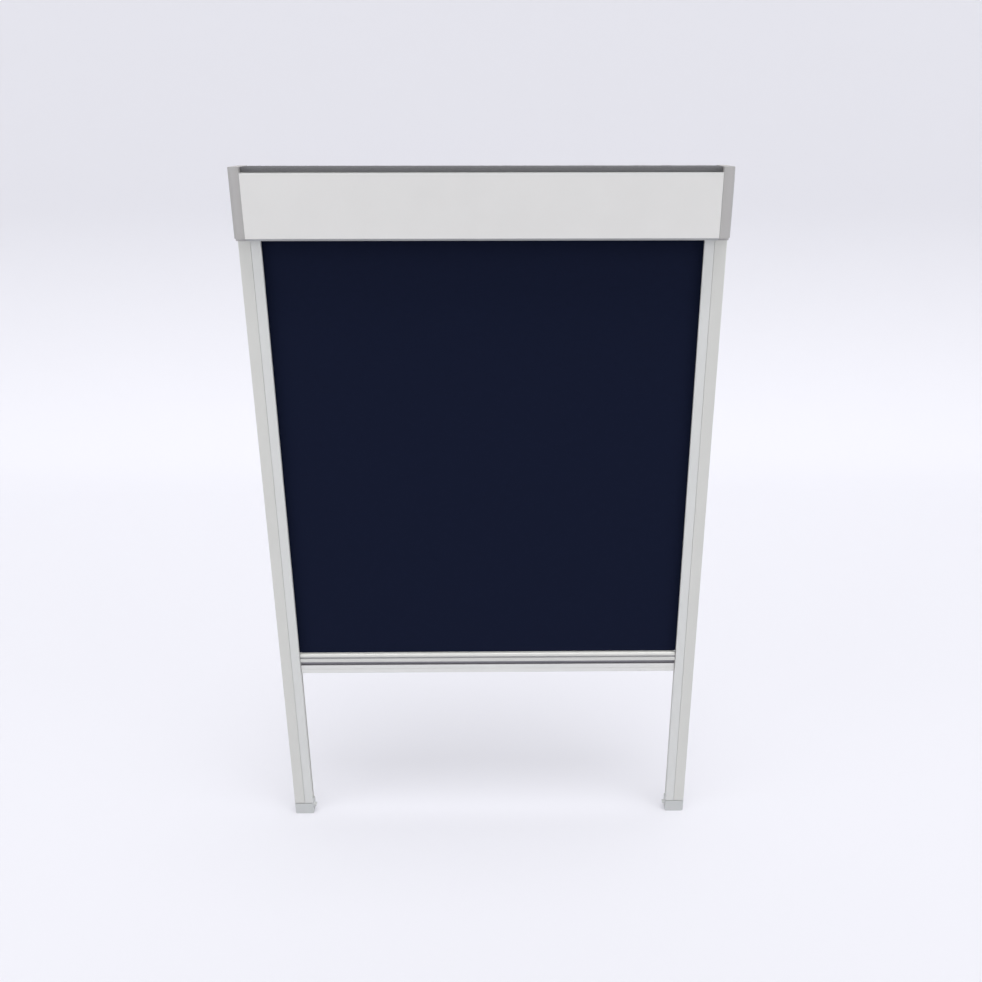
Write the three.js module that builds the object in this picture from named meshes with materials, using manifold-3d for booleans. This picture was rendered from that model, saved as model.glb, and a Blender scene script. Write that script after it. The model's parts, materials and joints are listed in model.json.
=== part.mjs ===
// Roller blackout blind for a skylight: a head box with a sprung roller, two side rails,
// and a fabric that a bottom bar pulls down between the rails.
//
// Millimetres. The blind stands upright: X runs to the right seen from the room, Y runs through the window
// towards the glass and Z runs up along the window. The origin is the middle of the head box's back face,
// level with the roller's axle.

import * as THREE from 'three';
import { mergeVertices } from 'three/addons/utils/BufferGeometryUtils.js';
import Module from 'manifold-3d';

const wasm = await Module();
wasm.setup();

// Driving sizes
const BLIND_WIDTH = 650;
const PANEL_HEIGHT = 81.4;
const PANEL_ABOVE_AXLE = 40;
const FOOT_DROP = 982.2;
const BAR_DROP = 677.7;
const RAIL_WIDTH = 30;
const RAIL_DEPTH = 18;
const FABRIC_THICKNESS = 0.5;

// Gap left between two pieces that touch, and the overrun of every cut and join
const FIT = 0.3;
const OVERRUN = 1;

// How round a circle, a rounded corner and an end cap's edge are drawn
const RING_SIDES = 28;
const SCREW_SIDES = 12;
const ROUND_STEPS = 4;
const CAP_CURVE_STEPS = 12;

// Side rail: an outer channel and an inner cover strip that snaps under its front flange
const RAIL_WALL = 1.5;
const RAIL_JOINT = 16.5;
const RAIL_BACK_SETBACK = 1.5;
const SEAM_ROUND = 0.7;
const EDGE_ROUND = 0.8;
const TONGUE_WALL = 1.3;
const TONGUE_REACH = 5.5;
const LIP_WALL = 1.3;
const LIP_DEPTH = 4.8;
const FABRIC_EDGE_IN_RAIL = 8.5;
const FIXING_HOLE_RADIUS = 2.3;
const FIXING_ACCESS_RADIUS = 4.6;
const FIXING_PLACE_SHARES = [0.12, 0.5, 0.88];

// Foot cap, with a shadow line under the rail and a small nose towards the opening
const FOOT_HEIGHT = 21.6;
const FOOT_ROUND = 3;
const FOOT_SHADOW_HEIGHT = 1.6;
const FOOT_SHADOW_DEPTH = 2;
const FOOT_SPIGOT = 12;
const NOSE_DROP = 5;
const NOSE_REACH = 5;
const NOSE_HEIGHT = 5.5;
const NOSE_DEPTH = 7;

// Screw that pins a spigot inside a rail, through the rail's outer wall
const SIDE_SCREW_HEAD_RADIUS = 3;
const SIDE_SCREW_HEAD = 1.2;
const SIDE_SCREW_RADIUS = 1.4;
const SIDE_SCREW_LENGTH = 9;

// Head box: a back profile and a front cover that hooks onto it
const HEAD_WALL = 1.5;
const HEAD_SIDE_SETBACK = 1.8;
const HEAD_FRONT_ROOM = 7.95;
const UNDER_LIP_DROP = 2.8;
const UNDER_LIP_SETBACK = 1.5;
const UNDER_LIP_SLANT = 3;
const UNDER_LIP_ROUND = 0.5;
const PANEL_ROUND = 1.2;
const TOP_HOOK_SETBACK = 7.7;
const TOP_HOOK_DROP = 4.5;
const MOUTH_AHEAD = 5;
const MOUTH_BEHIND = 4;
const MOUTH_LIP = 6;
const SEAL_HEIGHT = 7.2;
const SEAL_SETBACK = 8.5;
const SEAL_BACK = 6;
const SEAL_ROUND = 1.5;

// Screw ports along the head box's two profiles
const PORT_RADIUS = 4;
const PORT_BORE = 1.9;
const PORT_WEB = 2.4;
const UPPER_PORT_DEPTH = 6.8;
const UPPER_PORT_BELOW_TOP = 8;
const LOWER_PORT_AHEAD_OF_AXLE = 7;
const LOWER_PORT_ABOVE_FLOOR = 7.8;

// End cap: a moulded shell whose front edge is a quarter ellipse. It is open towards the head box,
// and solid above its panel, where it stands beside the seal
const CAP_WALL = 2;
const CAP_CURVE_DEPTH = 10;
const CAP_TOP_ROUND = 3.5;
const CAP_BOTTOM_ROUND = 1.2;
const PILLAR_RADIUS = 5.6;
const BOSS_RADIUS = 8;
const BOSS_SETBACK = 3.5;

// Cap screw
const CAP_SCREW_HEAD_RADIUS = 3.8;
const CAP_SCREW_HEAD = 2.2;
const CAP_SCREW_RADIUS = 1.6;
const CAP_SCREW_LENGTH = 32;
const SLOT_WIDTH = 0.9;
const SLOT_DEPTH = 1.1;

// Mounting bracket beside an end cap: a plate with two tongues that hook into the cap
const BRACKET_WIDTH = 16;
const BRACKET_BELOW_PANEL_TOP = 5;
const BRACKET_ABOVE_PANEL_FOOT = 13;
const BRACKET_ROUND = 3;
const BRACKET_HOLE_RADIUS = 2.3;
const BRACKET_TONGUE_BELOW_TOP = 13;
const BRACKET_TONGUE_ABOVE_FOOT = 6.4;
const BRACKET_HOLE_FROM_TONGUE = 11;
const BRACKET_TONGUE_HEIGHT = 2;
const BRACKET_TONGUE_WIDTH = 10;
const BRACKET_TONGUE_REACH = 3;

// Joiner between an end cap and a rail
const JOINER_RISE = 14;
const JOINER_DROP = 31;
const JOINER_SETBACK = 2.8;
const JOINER_SCREW_DROP = 18;

// Roller
const TUBE_RADIUS = 12.5;
const TUBE_WALL = 1.5;
const TUBE_PAST_FABRIC = 1.5;
const CAP_PAST_FABRIC = 4;
const ROLL_THICKNESS = 1.7;
const PIN_RADIUS = 3;
const PIN_LENGTH = 35;
const PLUG_LENGTH = 22;
const PLUG_FLANGE_OVER_TUBE = 1.1;
const PLUG_FLANGE = 1.6;

// Roller spring, its shaft and what holds its ends
const SHAFT_LENGTH = 266;
const SHAFT_FLAT = 2.4;
const SHAFT_FLAT_BEFORE_BOSS = 2;
const ANCHOR_GAP = 2;
const ANCHOR_LENGTH = 18;
const ANCHOR_RADIUS = 8;
const DRIVE_PLUG_LENGTH = 18;
const SHAFT_TAIL = 6;
const SPRING_RADIUS = 6.4;
const SPRING_WIRE_RADIUS = 0.8;
const SPRING_TURNS = 24;
const SPRING_STEPS_PER_TURN = 8;
const SPRING_SIDES = 5;

// Bottom bar, from its top down: upper ridge, fine groove, lower ridge, finger groove and flange.
// The ridges are a grip strip that clips onto the front profile's web
const BAR_BEHIND_RAIL_FACE = 1;
const BAR_BACK_SETBACK = 4;
const BAR_END_GAP = 0.8;
const BAR_WALL = 1.3;
const UPPER_RIDGE = 5.4;
const UPPER_RIDGE_ROUND = 3.4;
const RIDGE_GROOVE = 1.8;
const RIDGE_GROOVE_DEPTH = 2.4;
const LOWER_RIDGE = 6.5;
const RIDGE_EDGE_ROUND = 0.5;
const RIDGE_FOOT_ROUND = 1.4;
const FINGER_GROOVE = 5.6;
const FINGER_GROOVE_WEB = 0.8;
const GRIP_RIB_HEIGHT = 1.2;
const GRIP_RIB_REACH = 1;
const GRIP_RIB_ABOVE_GROOVE = 2.5;
const FLANGE = 14.8;
const FLANGE_SETBACK = 2;
const FLANGE_ROUND = 1.4;
const FLANGE_LINE_BELOW_TOP = 7;
const FLANGE_LINE_WIDTH = 0.8;
const FLANGE_LINE_DEPTH = 0.7;
const BACK_WEB = 0.7;
const BACK_WEB_BELOW_TOP = 1.5;
const BACK_BEAD = 4;
const SPLINE_RADIUS = 1.6;

// End guide of the bar, and its brake pad
const GUIDE_BELOW_TOP = 6;
const GUIDE_TONGUE_GAP = 0.5;
const GUIDE_SPIGOT = 14;
const PAD_THICKNESS = 1.1;
const PAD_INSET = 2.5;
const PAD_SIDE_INSET = 0.8;
const FABRIC_SHOULDER_ABOVE_BAR = 2;

// Rails and fabric
const sides = { left: -1, right: 1 };
const railFront = -RAIL_DEPTH;
const railSkin = railFront + RAIL_WALL;
const railInner = BLIND_WIDTH / 2 - RAIL_WIDTH;
const tongueFront = railSkin + FIT;
const tongueBack = tongueFront + TONGUE_WALL;
const fabricY = -RAIL_DEPTH / 2;
const fabricFront = fabricY - FABRIC_THICKNESS / 2;
const fabricBack = fabricY + FABRIC_THICKNESS / 2;
const fabricHalf = railInner + FABRIC_EDGE_IN_RAIL;

// Roller and head box: the fabric leaves the roll at its back, in the rails' plane
const rollRadius = TUBE_RADIUS + FIT + ROLL_THICKNESS;
const axle = [fabricFront - FIT - rollRadius, 0];
const tubeEnd = fabricHalf + TUBE_PAST_FABRIC;
const tubeBore = TUBE_RADIUS - TUBE_WALL;
const headFront = axle[0] - rollRadius - HEAD_FRONT_ROOM - HEAD_WALL;
const panelTop = PANEL_ABOVE_AXLE;
const panelFoot = panelTop - PANEL_HEIGHT;
const headTop = panelTop + SEAL_HEIGHT;
const headBottom = panelFoot - UNDER_LIP_DROP;
const underLip = headFront + UNDER_LIP_SETBACK;
const underLipFoot = underLip + UNDER_LIP_SLANT;
const capOut = BLIND_WIDTH / 2 - HEAD_SIDE_SETBACK;
const capIn = fabricHalf + CAP_PAST_FABRIC;
const capFloor = panelFoot + CAP_WALL;
const panelEnd = capIn - FIT;
const upperPort = [-UPPER_PORT_DEPTH, panelTop - UPPER_PORT_BELOW_TOP];
const lowerPort = [axle[0] - LOWER_PORT_AHEAD_OF_AXLE, headBottom + LOWER_PORT_ABOVE_FLOOR];
const railTop = headBottom - FIT;
const footTop = FOOT_HEIGHT - FOOT_DROP;
const railFoot = footTop + FIT;

// The spring's parts lie one after another along the shaft, from the right-hand cap inwards
const bossFace = capIn + BOSS_SETBACK;
const shaftSeat = capOut - CAP_WALL - FIT;
const socketEnd = shaftSeat + FIT / 2;
const flatsIn = bossFace - SHAFT_FLAT_BEFORE_BOSS;
const anchorOut = tubeEnd - PLUG_LENGTH - ANCHOR_GAP;
const anchorIn = anchorOut - ANCHOR_LENGTH;
const shaftIn = shaftSeat - SHAFT_LENGTH;
const drivePlugIn = shaftIn + SHAFT_TAIL;
const drivePlugOut = drivePlugIn + DRIVE_PLUG_LENGTH;

// Bar: heights are counted down from its top
const barEnd = railInner - BAR_END_GAP;
const barFront = railFront + BAR_BEHIND_RAIL_FACE;
const barBack = -BAR_BACK_SETBACK;
const lowerRidgeDown = UPPER_RIDGE + RIDGE_GROOVE;
const fingerGrooveDown = lowerRidgeDown + LOWER_RIDGE;
const webFootDown = fingerGrooveDown + FINGER_GROOVE;
const splineDown = (fingerGrooveDown + webFootDown) / 2;
const flangeDown = webFootDown + FIT;
const barFootDown = flangeDown + FLANGE;
const flangeFront = barFront + FLANGE_SETBACK;
const splineSeatRadius = SPLINE_RADIUS + 2 * FIT;

const aluminium = material(0xd6d7d6, 0.42, 0.5);
const coverAluminium = material(0xdcdddd, 0.4, 0.5);
const greyPlastic = material(0xb1b2b4, 0.55, 0);
const paleGreyPlastic = material(0xc1c3c3, 0.5, 0);
const whitePlastic = material(0xe6e6e3, 0.5, 0);
const darkFoam = material(0x6a6866, 0.95, 0);
const felt = material(0x3b3c40, 1, 0);
const blackoutCloth = material(0x161c2e, 0.8, 0);
const steel = material(0xb8babd, 0.3, 1);
const springSteel = material(0x7d8084, 0.35, 1);

function material(color, roughness, metalness) {
  return new THREE.MeshStandardMaterial({ color, roughness, metalness });
}

// A closed mesh as a solid that can be joined and cut
function solidOf(geometry) {
  geometry.deleteAttribute('normal');
  geometry.deleteAttribute('uv');
  const merged = mergeVertices(geometry);
  return new wasm.Manifold(new wasm.Mesh({
    numProp: 3,
    vertProperties: new Float32Array(merged.attributes.position.array),
    triVerts: new Uint32Array(merged.index.array),
  }));
}

function geometryOf(solid) {
  const mesh = solid.getMesh();
  const geometry = new THREE.BufferGeometry();
  geometry.setAttribute('position', new THREE.BufferAttribute(mesh.vertProperties, mesh.numProp));
  geometry.setIndex(new THREE.BufferAttribute(mesh.triVerts, 1));
  geometry.computeVertexNormals();
  return geometry;
}

const joinAll = (first, ...others) => others.reduce((whole, solid) => whole.add(solid), first);
const cutAll = (first, ...others) => others.reduce((whole, solid) => whole.subtract(solid), first);

// Spans along one axis
const about = (middle, width) => [middle - width / 2, middle + width / 2];
const longer = (span) => [Math.min(...span) - OVERRUN, Math.max(...span) + OVERRUN];

// An outline through corners [a, b, rounding]; a rounded corner is cut off by a short curve
function outline(corners) {
  const shape = new THREE.Shape();
  const place = (i) => new THREE.Vector2(...corners.at(i % corners.length).slice(0, 2));
  corners.forEach(([, , rounding = 0], i) => {
    const corner = place(i);
    const towards = (other) => other.sub(corner).setLength(rounding).add(corner);
    const before = rounding ? towards(place(i - 1)) : corner;
    if (i === 0) shape.moveTo(before.x, before.y);
    else shape.lineTo(before.x, before.y);
    if (rounding) shape.quadraticCurveTo(corner.x, corner.y, ...towards(place(i + 1)).toArray());
  });
  return shape;
}

// The corners of a circle about [a, b]
function circle(radius, [a, b], count = RING_SIDES) {
  return Array.from({ length: count }, (_, i) => {
    const turn = (2 * Math.PI * (i + 0.5)) / count;
    return [a + radius * Math.cos(turn), b + radius * Math.sin(turn)];
  });
}

// Outlines are drawn in Y and Z when swept along X, in X and Z along Y, and in X and Y along Z
const unitX = new THREE.Vector3(1, 0, 0);
const unitY = new THREE.Vector3(0, 1, 0);
const unitZ = new THREE.Vector3(0, 0, 1);
const sweeps = {
  x: [unitY, unitZ, unitX],
  y: [unitX, unitZ, unitY.clone().negate()],
  z: [unitX, unitY, unitZ],
};

function prism(along, corners, span) {
  const low = Math.min(...span);
  const high = Math.max(...span);
  const geometry = new THREE.ExtrudeGeometry(outline(corners), {
    depth: high - low,
    bevelEnabled: false,
    curveSegments: ROUND_STEPS,
  });
  geometry.translate(0, 0, along === 'y' ? -high : low);
  geometry.applyMatrix4(new THREE.Matrix4().makeBasis(...sweeps[along]));
  return solidOf(geometry);
}

function block(...spans) {
  const size = spans.map(([from, to]) => Math.abs(to - from));
  const middle = spans.map(([from, to]) => (from + to) / 2);
  return solidOf(new THREE.BoxGeometry(...size).translate(...middle));
}

// Round pieces lie along X, about a place [y, z]
const rod = (radius, place, span, count) => prism('x', circle(radius, place, count), span);
const ring = (outer, bore, span) => rod(outer, axle, span).subtract(rod(bore, axle, longer(span)));

// A round bar with two flats, or the socket that fits it
function flattedRod(radius, flat, span) {
  return rod(radius, axle, span).intersect(block(span, about(axle[0], 2 * radius), about(axle[1], 2 * flat)));
}

// A place across a rail, counted inwards from its outer face
const acrossRail = (side, inwards) => side * (BLIND_WIDTH / 2 - inwards);

function railPrism(side, corners) {
  const placed = corners.map(([inwards, y, rounding]) => [acrossRail(side, inwards), y, rounding]);
  return prism('z', placed, [railFoot, railTop]);
}

function railBlock(side, [from, to], deep, high) {
  return block([acrossRail(side, from), acrossRail(side, to)], deep, high);
}

// The hollow between a rail's outer wall and its divider, less the gap to what fills it
const hollowAcross = [RAIL_WALL + FIT, RAIL_JOINT - RAIL_WALL - FIT];
const hollowDeep = [tongueBack + FIT, -RAIL_WALL - FIT];
const footScrewZ = footTop + FOOT_SPIGOT / 2;
const joinerScrewZ = headBottom - JOINER_SCREW_DROP;

function railChannel(side) {
  const flangeEnd = RAIL_JOINT - FIT / 2;
  const backEnd = RAIL_WIDTH - RAIL_BACK_SETBACK;
  const dividerTop = tongueBack + FIT;
  const shell = railPrism(side, [
    [0, 0],
    [backEnd, 0],
    [backEnd, -RAIL_WALL],
    [RAIL_JOINT, -RAIL_WALL],
    [RAIL_JOINT, dividerTop],
    [RAIL_JOINT - RAIL_WALL, dividerTop],
    [RAIL_JOINT - RAIL_WALL, -RAIL_WALL],
    [RAIL_WALL, -RAIL_WALL],
    [RAIL_WALL, railSkin],
    [flangeEnd, railSkin],
    [flangeEnd, railFront, SEAM_ROUND],
    [0, railFront, EDGE_ROUND],
  ]);
  const outerWall = longer([acrossRail(side, 0), acrossRail(side, RAIL_WALL)]);
  const divider = longer([acrossRail(side, RAIL_JOINT - RAIL_WALL), acrossRail(side, RAIL_JOINT)]);
  const fixings = FIXING_PLACE_SHARES.flatMap((share) => {
    const place = [fabricY, railTop + share * (railFoot - railTop)];
    return [
      rod(FIXING_HOLE_RADIUS, place, outerWall, SCREW_SIDES),
      rod(FIXING_ACCESS_RADIUS, place, divider, SCREW_SIDES),
    ];
  });
  const screwHoles = [joinerScrewZ, footScrewZ].map(
    (z) => rod(SIDE_SCREW_HEAD_RADIUS + FIT, [fabricY, z], outerWall, SCREW_SIDES),
  );
  return cutAll(shell, ...fixings, ...screwHoles);
}

function railCover(side) {
  const start = RAIL_JOINT + FIT / 2;
  const lipEnd = railFront + LIP_DEPTH;
  return railPrism(side, [
    [start, railFront, SEAM_ROUND],
    [RAIL_WIDTH, railFront, EDGE_ROUND],
    [RAIL_WIDTH, lipEnd],
    [RAIL_WIDTH - LIP_WALL, lipEnd],
    [RAIL_WIDTH - LIP_WALL, railSkin],
    [start + RAIL_WALL, railSkin],
    [start + RAIL_WALL, tongueBack],
    [RAIL_JOINT - TONGUE_REACH, tongueBack],
    [RAIL_JOINT - TONGUE_REACH, tongueFront],
    [start, tongueFront],
  ]);
}

function sideScrewBore(side, z) {
  const span = [acrossRail(side, 0), acrossRail(side, RAIL_WALL + SIDE_SCREW_LENGTH + FIT)];
  return rod(SIDE_SCREW_RADIUS + FIT, [fabricY, z], span, SCREW_SIDES);
}

function sideScrew(side, z) {
  const place = [fabricY, z];
  const face = acrossRail(side, RAIL_WALL - SIDE_SCREW_HEAD);
  const seat = acrossRail(side, RAIL_WALL);
  const tip = acrossRail(side, RAIL_WALL + SIDE_SCREW_LENGTH);
  const head = rod(SIDE_SCREW_HEAD_RADIUS, place, [face, seat], SCREW_SIDES);
  const shank = rod(SIDE_SCREW_RADIUS, place, [(face + seat) / 2, tip], SCREW_SIDES);
  return head.add(shank).subtract(crossSlots(side, face, place, SIDE_SCREW_HEAD_RADIUS, SIDE_SCREW_HEAD / 2));
}

// Two crossed slots in a screw head whose outer face is at x
function crossSlots(side, x, [y, z], length, depth) {
  const deep = [x + side * OVERRUN, x - side * depth];
  const along = block(deep, about(y, length), about(z, SLOT_WIDTH));
  return along.add(block(deep, about(y, SLOT_WIDTH), about(z, length)));
}

function footCap(side) {
  const body = prism('y', [
    [acrossRail(side, 0), footTop],
    [acrossRail(side, RAIL_WIDTH), footTop],
    [acrossRail(side, RAIL_WIDTH), -FOOT_DROP, FOOT_ROUND],
    [acrossRail(side, 0), -FOOT_DROP, FOOT_ROUND],
  ], [railFront, 0]);
  const shadowBack = railFront + FOOT_SHADOW_DEPTH;
  const shadow = railBlock(
    side,
    longer([0, RAIL_WIDTH]),
    [railFront - OVERRUN, shadowBack],
    [footTop - FOOT_SHADOW_HEIGHT, footTop + OVERRUN],
  );
  const noseTop = footTop - NOSE_DROP;
  const nose = prism('y', [
    [acrossRail(side, RAIL_WIDTH - OVERRUN), noseTop],
    [acrossRail(side, RAIL_WIDTH + NOSE_REACH), noseTop],
    [acrossRail(side, RAIL_WIDTH + NOSE_REACH), noseTop - NOSE_HEIGHT / 2, EDGE_ROUND],
    [acrossRail(side, RAIL_WIDTH - OVERRUN), noseTop - NOSE_HEIGHT],
  ], [shadowBack, shadowBack + NOSE_DEPTH]);
  const spigot = railBlock(side, hollowAcross, hollowDeep, [footTop - OVERRUN, footTop + FOOT_SPIGOT]);
  return joinAll(body.subtract(shadow), nose, spigot).subtract(sideScrewBore(side, footScrewZ));
}

const joinerUpper = [capIn + JOINER_SETBACK, capOut - CAP_WALL - FIT];

function joiner(side) {
  const lower = railBlock(side, hollowAcross, hollowDeep, [headBottom - JOINER_DROP, railTop]);
  const upper = block(
    joinerUpper.map((x) => side * x),
    [hollowDeep[0], -CAP_WALL - FIT],
    [railTop - OVERRUN, headBottom + JOINER_RISE],
  );
  return lower.add(upper).subtract(sideScrewBore(side, joinerScrewZ));
}

// A profile with a screw port, joined to it by a web
function withPort(profile, place, webDeep, webHigh) {
  const span = [-panelEnd, panelEnd];
  const port = rod(PORT_RADIUS, place, span).add(block(span, webDeep, webHigh));
  return profile.add(port).subtract(rod(PORT_BORE, place, longer(span)));
}

const hookY = headFront + TOP_HOOK_SETBACK;
const hookZ = panelTop - TOP_HOOK_DROP;

function headBack() {
  const flangeEnd = hookY + FIT;
  const mouth = fabricY + MOUTH_BEHIND;
  const shell = prism('x', [
    [0, headBottom],
    [0, panelTop],
    [flangeEnd, panelTop],
    [flangeEnd, hookZ],
    [flangeEnd + HEAD_WALL, hookZ],
    [flangeEnd + HEAD_WALL, panelTop - HEAD_WALL],
    [-HEAD_WALL, panelTop - HEAD_WALL],
    [-HEAD_WALL, headBottom + HEAD_WALL],
    [mouth, headBottom + HEAD_WALL],
    [mouth, headBottom],
  ], [-panelEnd, panelEnd]);
  return withPort(shell, upperPort, [upperPort[0], -HEAD_WALL / 2], about(upperPort[1], PORT_WEB));
}

function headCover() {
  const mouth = fabricY - MOUTH_AHEAD;
  const floor = headBottom + HEAD_WALL;
  const shell = prism('x', [
    [mouth, headBottom, PANEL_ROUND / 2],
    [mouth, headBottom + MOUTH_LIP],
    [mouth - HEAD_WALL, headBottom + MOUTH_LIP],
    [mouth - HEAD_WALL, floor],
    [underLipFoot + HEAD_WALL, floor],
    [underLip + HEAD_WALL, panelFoot + HEAD_WALL],
    [headFront + HEAD_WALL, panelFoot + HEAD_WALL],
    [headFront + HEAD_WALL, panelTop - HEAD_WALL],
    [hookY - HEAD_WALL, panelTop - HEAD_WALL],
    [hookY - HEAD_WALL, hookZ],
    [hookY, hookZ],
    [hookY, panelTop],
    [headFront, panelTop, PANEL_ROUND],
    [headFront, panelFoot, UNDER_LIP_ROUND],
    [underLip, panelFoot],
    [underLipFoot, headBottom, UNDER_LIP_ROUND],
  ], [-panelEnd, panelEnd]);
  const webHigh = [lowerPort[1], headBottom + HEAD_WALL / 2];
  return withPort(shell, lowerPort, about(lowerPort[0], PORT_WEB), webHigh);
}

function topSeal() {
  const foot = panelTop + FIT;
  return prism('x', [
    [-SEAL_BACK, foot],
    [-SEAL_BACK, headTop, SEAL_ROUND],
    [headFront + SEAL_SETBACK, headTop, SEAL_ROUND],
    [headFront + SEAL_SETBACK, foot],
  ], [-panelEnd, panelEnd]);
}

// The plan of an end cap, moved inwards from its faces by inset, and open at inner
function capPlan(side, inset, inner) {
  const curve = Array.from({ length: CAP_CURVE_STEPS + 1 }, (_, i) => {
    const turn = (Math.PI / 2) * (i / CAP_CURVE_STEPS);
    return [
      side * (capIn + (capOut - capIn - inset) * Math.sin(turn)),
      headFront + CAP_CURVE_DEPTH - (CAP_CURVE_DEPTH - inset) * Math.cos(turn),
    ];
  });
  const start = inner < capIn ? [[side * inner, curve[0][1]]] : [];
  return [...start, ...curve, [side * (capOut - inset), -inset], [side * inner, -inset]];
}

function capScrewSeat(side, place) {
  const head = [side * (capOut + OVERRUN), side * (capOut - CAP_SCREW_HEAD - FIT)];
  const shank = [side * capOut, side * (capIn - OVERRUN)];
  const bore = rod(CAP_SCREW_RADIUS + FIT, place, shank, SCREW_SIDES);
  return rod(CAP_SCREW_HEAD_RADIUS + FIT, place, head).add(bore);
}

function capOuter(side) {
  const face = prism('y', [
    [side * capIn, headTop],
    [side * capOut, headTop, CAP_TOP_ROUND],
    [side * capOut, headBottom, CAP_BOTTOM_ROUND],
    [side * capIn, headBottom],
  ], longer([headFront, 0]));
  const upper = prism('z', capPlan(side, 0, capIn), [panelFoot, headTop]);
  const lower = prism('z', capPlan(side, UNDER_LIP_SETBACK, capIn), [headBottom, panelFoot + OVERRUN]);
  const slant = prism('x', [
    [headFront, panelFoot],
    [underLip, panelFoot],
    [underLipFoot, headBottom],
    [headFront, headBottom],
  ], [side * (capIn - OVERRUN), side * (capOut + OVERRUN)]);
  return upper.add(lower.subtract(slant)).intersect(face);
}

function endCap(side, socket) {
  const outer = capOuter(side);
  const hollow = prism('z', capPlan(side, CAP_WALL, capIn - OVERRUN), [capFloor, panelTop - HEAD_WALL]);
  const wall = side * (capOut - CAP_WALL / 2);
  const pillars = [upperPort, lowerPort].map((place) => rod(PILLAR_RADIUS, place, [side * capIn, wall]));
  const boss = rod(BOSS_RADIUS, axle, [side * bossFace, wall]);
  const filled = joinAll(outer.subtract(hollow), boss, ...pillars).intersect(outer);
  const joinerHole = block(
    [side * (joinerUpper[0] - FIT), side * (joinerUpper[1] + FIT)],
    [hollowDeep[0] - FIT, -CAP_WALL],
    longer([headBottom, capFloor]),
  );
  const screwSeats = [upperPort, lowerPort].map((place) => capScrewSeat(side, place));
  return cutAll(filled, socket, joinerHole, ...screwSeats, ...bracketTongues(side, FIT));
}

function capScrew(side, place) {
  const face = capOut - FIT / 2;
  const seat = face - CAP_SCREW_HEAD;
  const head = rod(CAP_SCREW_HEAD_RADIUS, place, [side * face, side * seat]);
  const shankSpan = [side * (seat + OVERRUN), side * (seat - CAP_SCREW_LENGTH)];
  const shank = rod(CAP_SCREW_RADIUS, place, shankSpan, SCREW_SIDES);
  return head.add(shank).subtract(crossSlots(side, side * face, place, CAP_SCREW_HEAD_RADIUS, SLOT_DEPTH));
}

// A mounting bracket's ends, and the heights of its tongues
const bracketHigh = [panelFoot + BRACKET_ABOVE_PANEL_FOOT, panelTop - BRACKET_BELOW_PANEL_TOP];
const tongueHigh = [bracketHigh[0] + BRACKET_TONGUE_ABOVE_FOOT, bracketHigh[1] - BRACKET_TONGUE_BELOW_TOP];

// The two tongues of a mounting bracket, or the slots for them when grown by gap
function bracketTongues(side, gap) {
  const reach = [side * (BLIND_WIDTH / 2 - gap), side * (capOut - BRACKET_TONGUE_REACH - gap)];
  return tongueHigh.map((z) => block(
    reach,
    about(axle[0], BRACKET_TONGUE_WIDTH + 2 * gap),
    about(z, BRACKET_TONGUE_HEIGHT + 2 * gap),
  ));
}

function mountingBracket(side) {
  const [front, back] = about(axle[0], BRACKET_WIDTH);
  const span = [side * (capOut + FIT), side * (BLIND_WIDTH / 2)];
  const [bottom, top] = bracketHigh;
  const plate = prism('x', [
    [front, bottom, BRACKET_ROUND],
    [back, bottom, BRACKET_ROUND],
    [back, top, BRACKET_ROUND],
    [front, top, BRACKET_ROUND],
  ], span);
  const holeHigh = [tongueHigh[0] + BRACKET_HOLE_FROM_TONGUE, tongueHigh[1] - BRACKET_HOLE_FROM_TONGUE];
  const holes = holeHigh.map(
    (z) => rod(BRACKET_HOLE_RADIUS, [axle[0], z], longer(span), SCREW_SIDES),
  );
  return cutAll(joinAll(plate, ...bracketTongues(side, 0)), ...holes);
}

// A plug in the end of the tube, with a flange against the tube's rim, bored to run on a pin
function endPlug(side) {
  const rim = tubeEnd + FIT;
  const face = side * (rim + PLUG_FLANGE);
  const inner = side * (tubeEnd - PLUG_LENGTH);
  const body = rod(tubeBore - FIT, axle, [inner, face]);
  const flange = rod(TUBE_RADIUS + PLUG_FLANGE_OVER_TUBE, axle, [side * rim, face]);
  return body.add(flange).subtract(rod(PIN_RADIUS + FIT, axle, longer([inner, face])));
}

function springShaft() {
  const round = rod(PIN_RADIUS, axle, [shaftIn, flatsIn + OVERRUN]);
  return round.add(flattedRod(PIN_RADIUS, SHAFT_FLAT, [flatsIn, shaftSeat]));
}

// One long coil about the axle
class Coil extends THREE.Curve {
  constructor(from, to) {
    super();
    this.from = from;
    this.to = to;
  }

  getPoint(share) {
    const turn = 2 * Math.PI * SPRING_TURNS * share;
    return new THREE.Vector3(
      this.from + (this.to - this.from) * share,
      axle[0] + SPRING_RADIUS * Math.cos(turn),
      axle[1] + SPRING_RADIUS * Math.sin(turn),
    );
  }
}

function torsionSpring() {
  const path = new Coil(drivePlugOut + FIT + SPRING_WIRE_RADIUS, anchorIn - FIT - SPRING_WIRE_RADIUS);
  const pitch = (path.to - path.from) / SPRING_TURNS;
  console.log(`spring: least gap between turns ${(pitch - 2 * SPRING_WIRE_RADIUS).toFixed(2)} mm`);
  return solidOf(new THREE.ExtrudeGeometry(outline(circle(SPRING_WIRE_RADIUS, [0, 0], SPRING_SIDES)), {
    extrudePath: path,
    steps: SPRING_TURNS * SPRING_STEPS_PER_TURN,
    bevelEnabled: false,
  }));
}

// Pieces of the bar are drawn as distances down from its top
const downBar = (down) => -BAR_DROP - down;
const barSpan = [-barEnd, barEnd];
const splinePlace = [fabricY, downBar(splineDown)];

function barPrism(corners) {
  return prism('x', corners.map(([y, down, rounding]) => [y, downBar(down), rounding]), barSpan);
}

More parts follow.
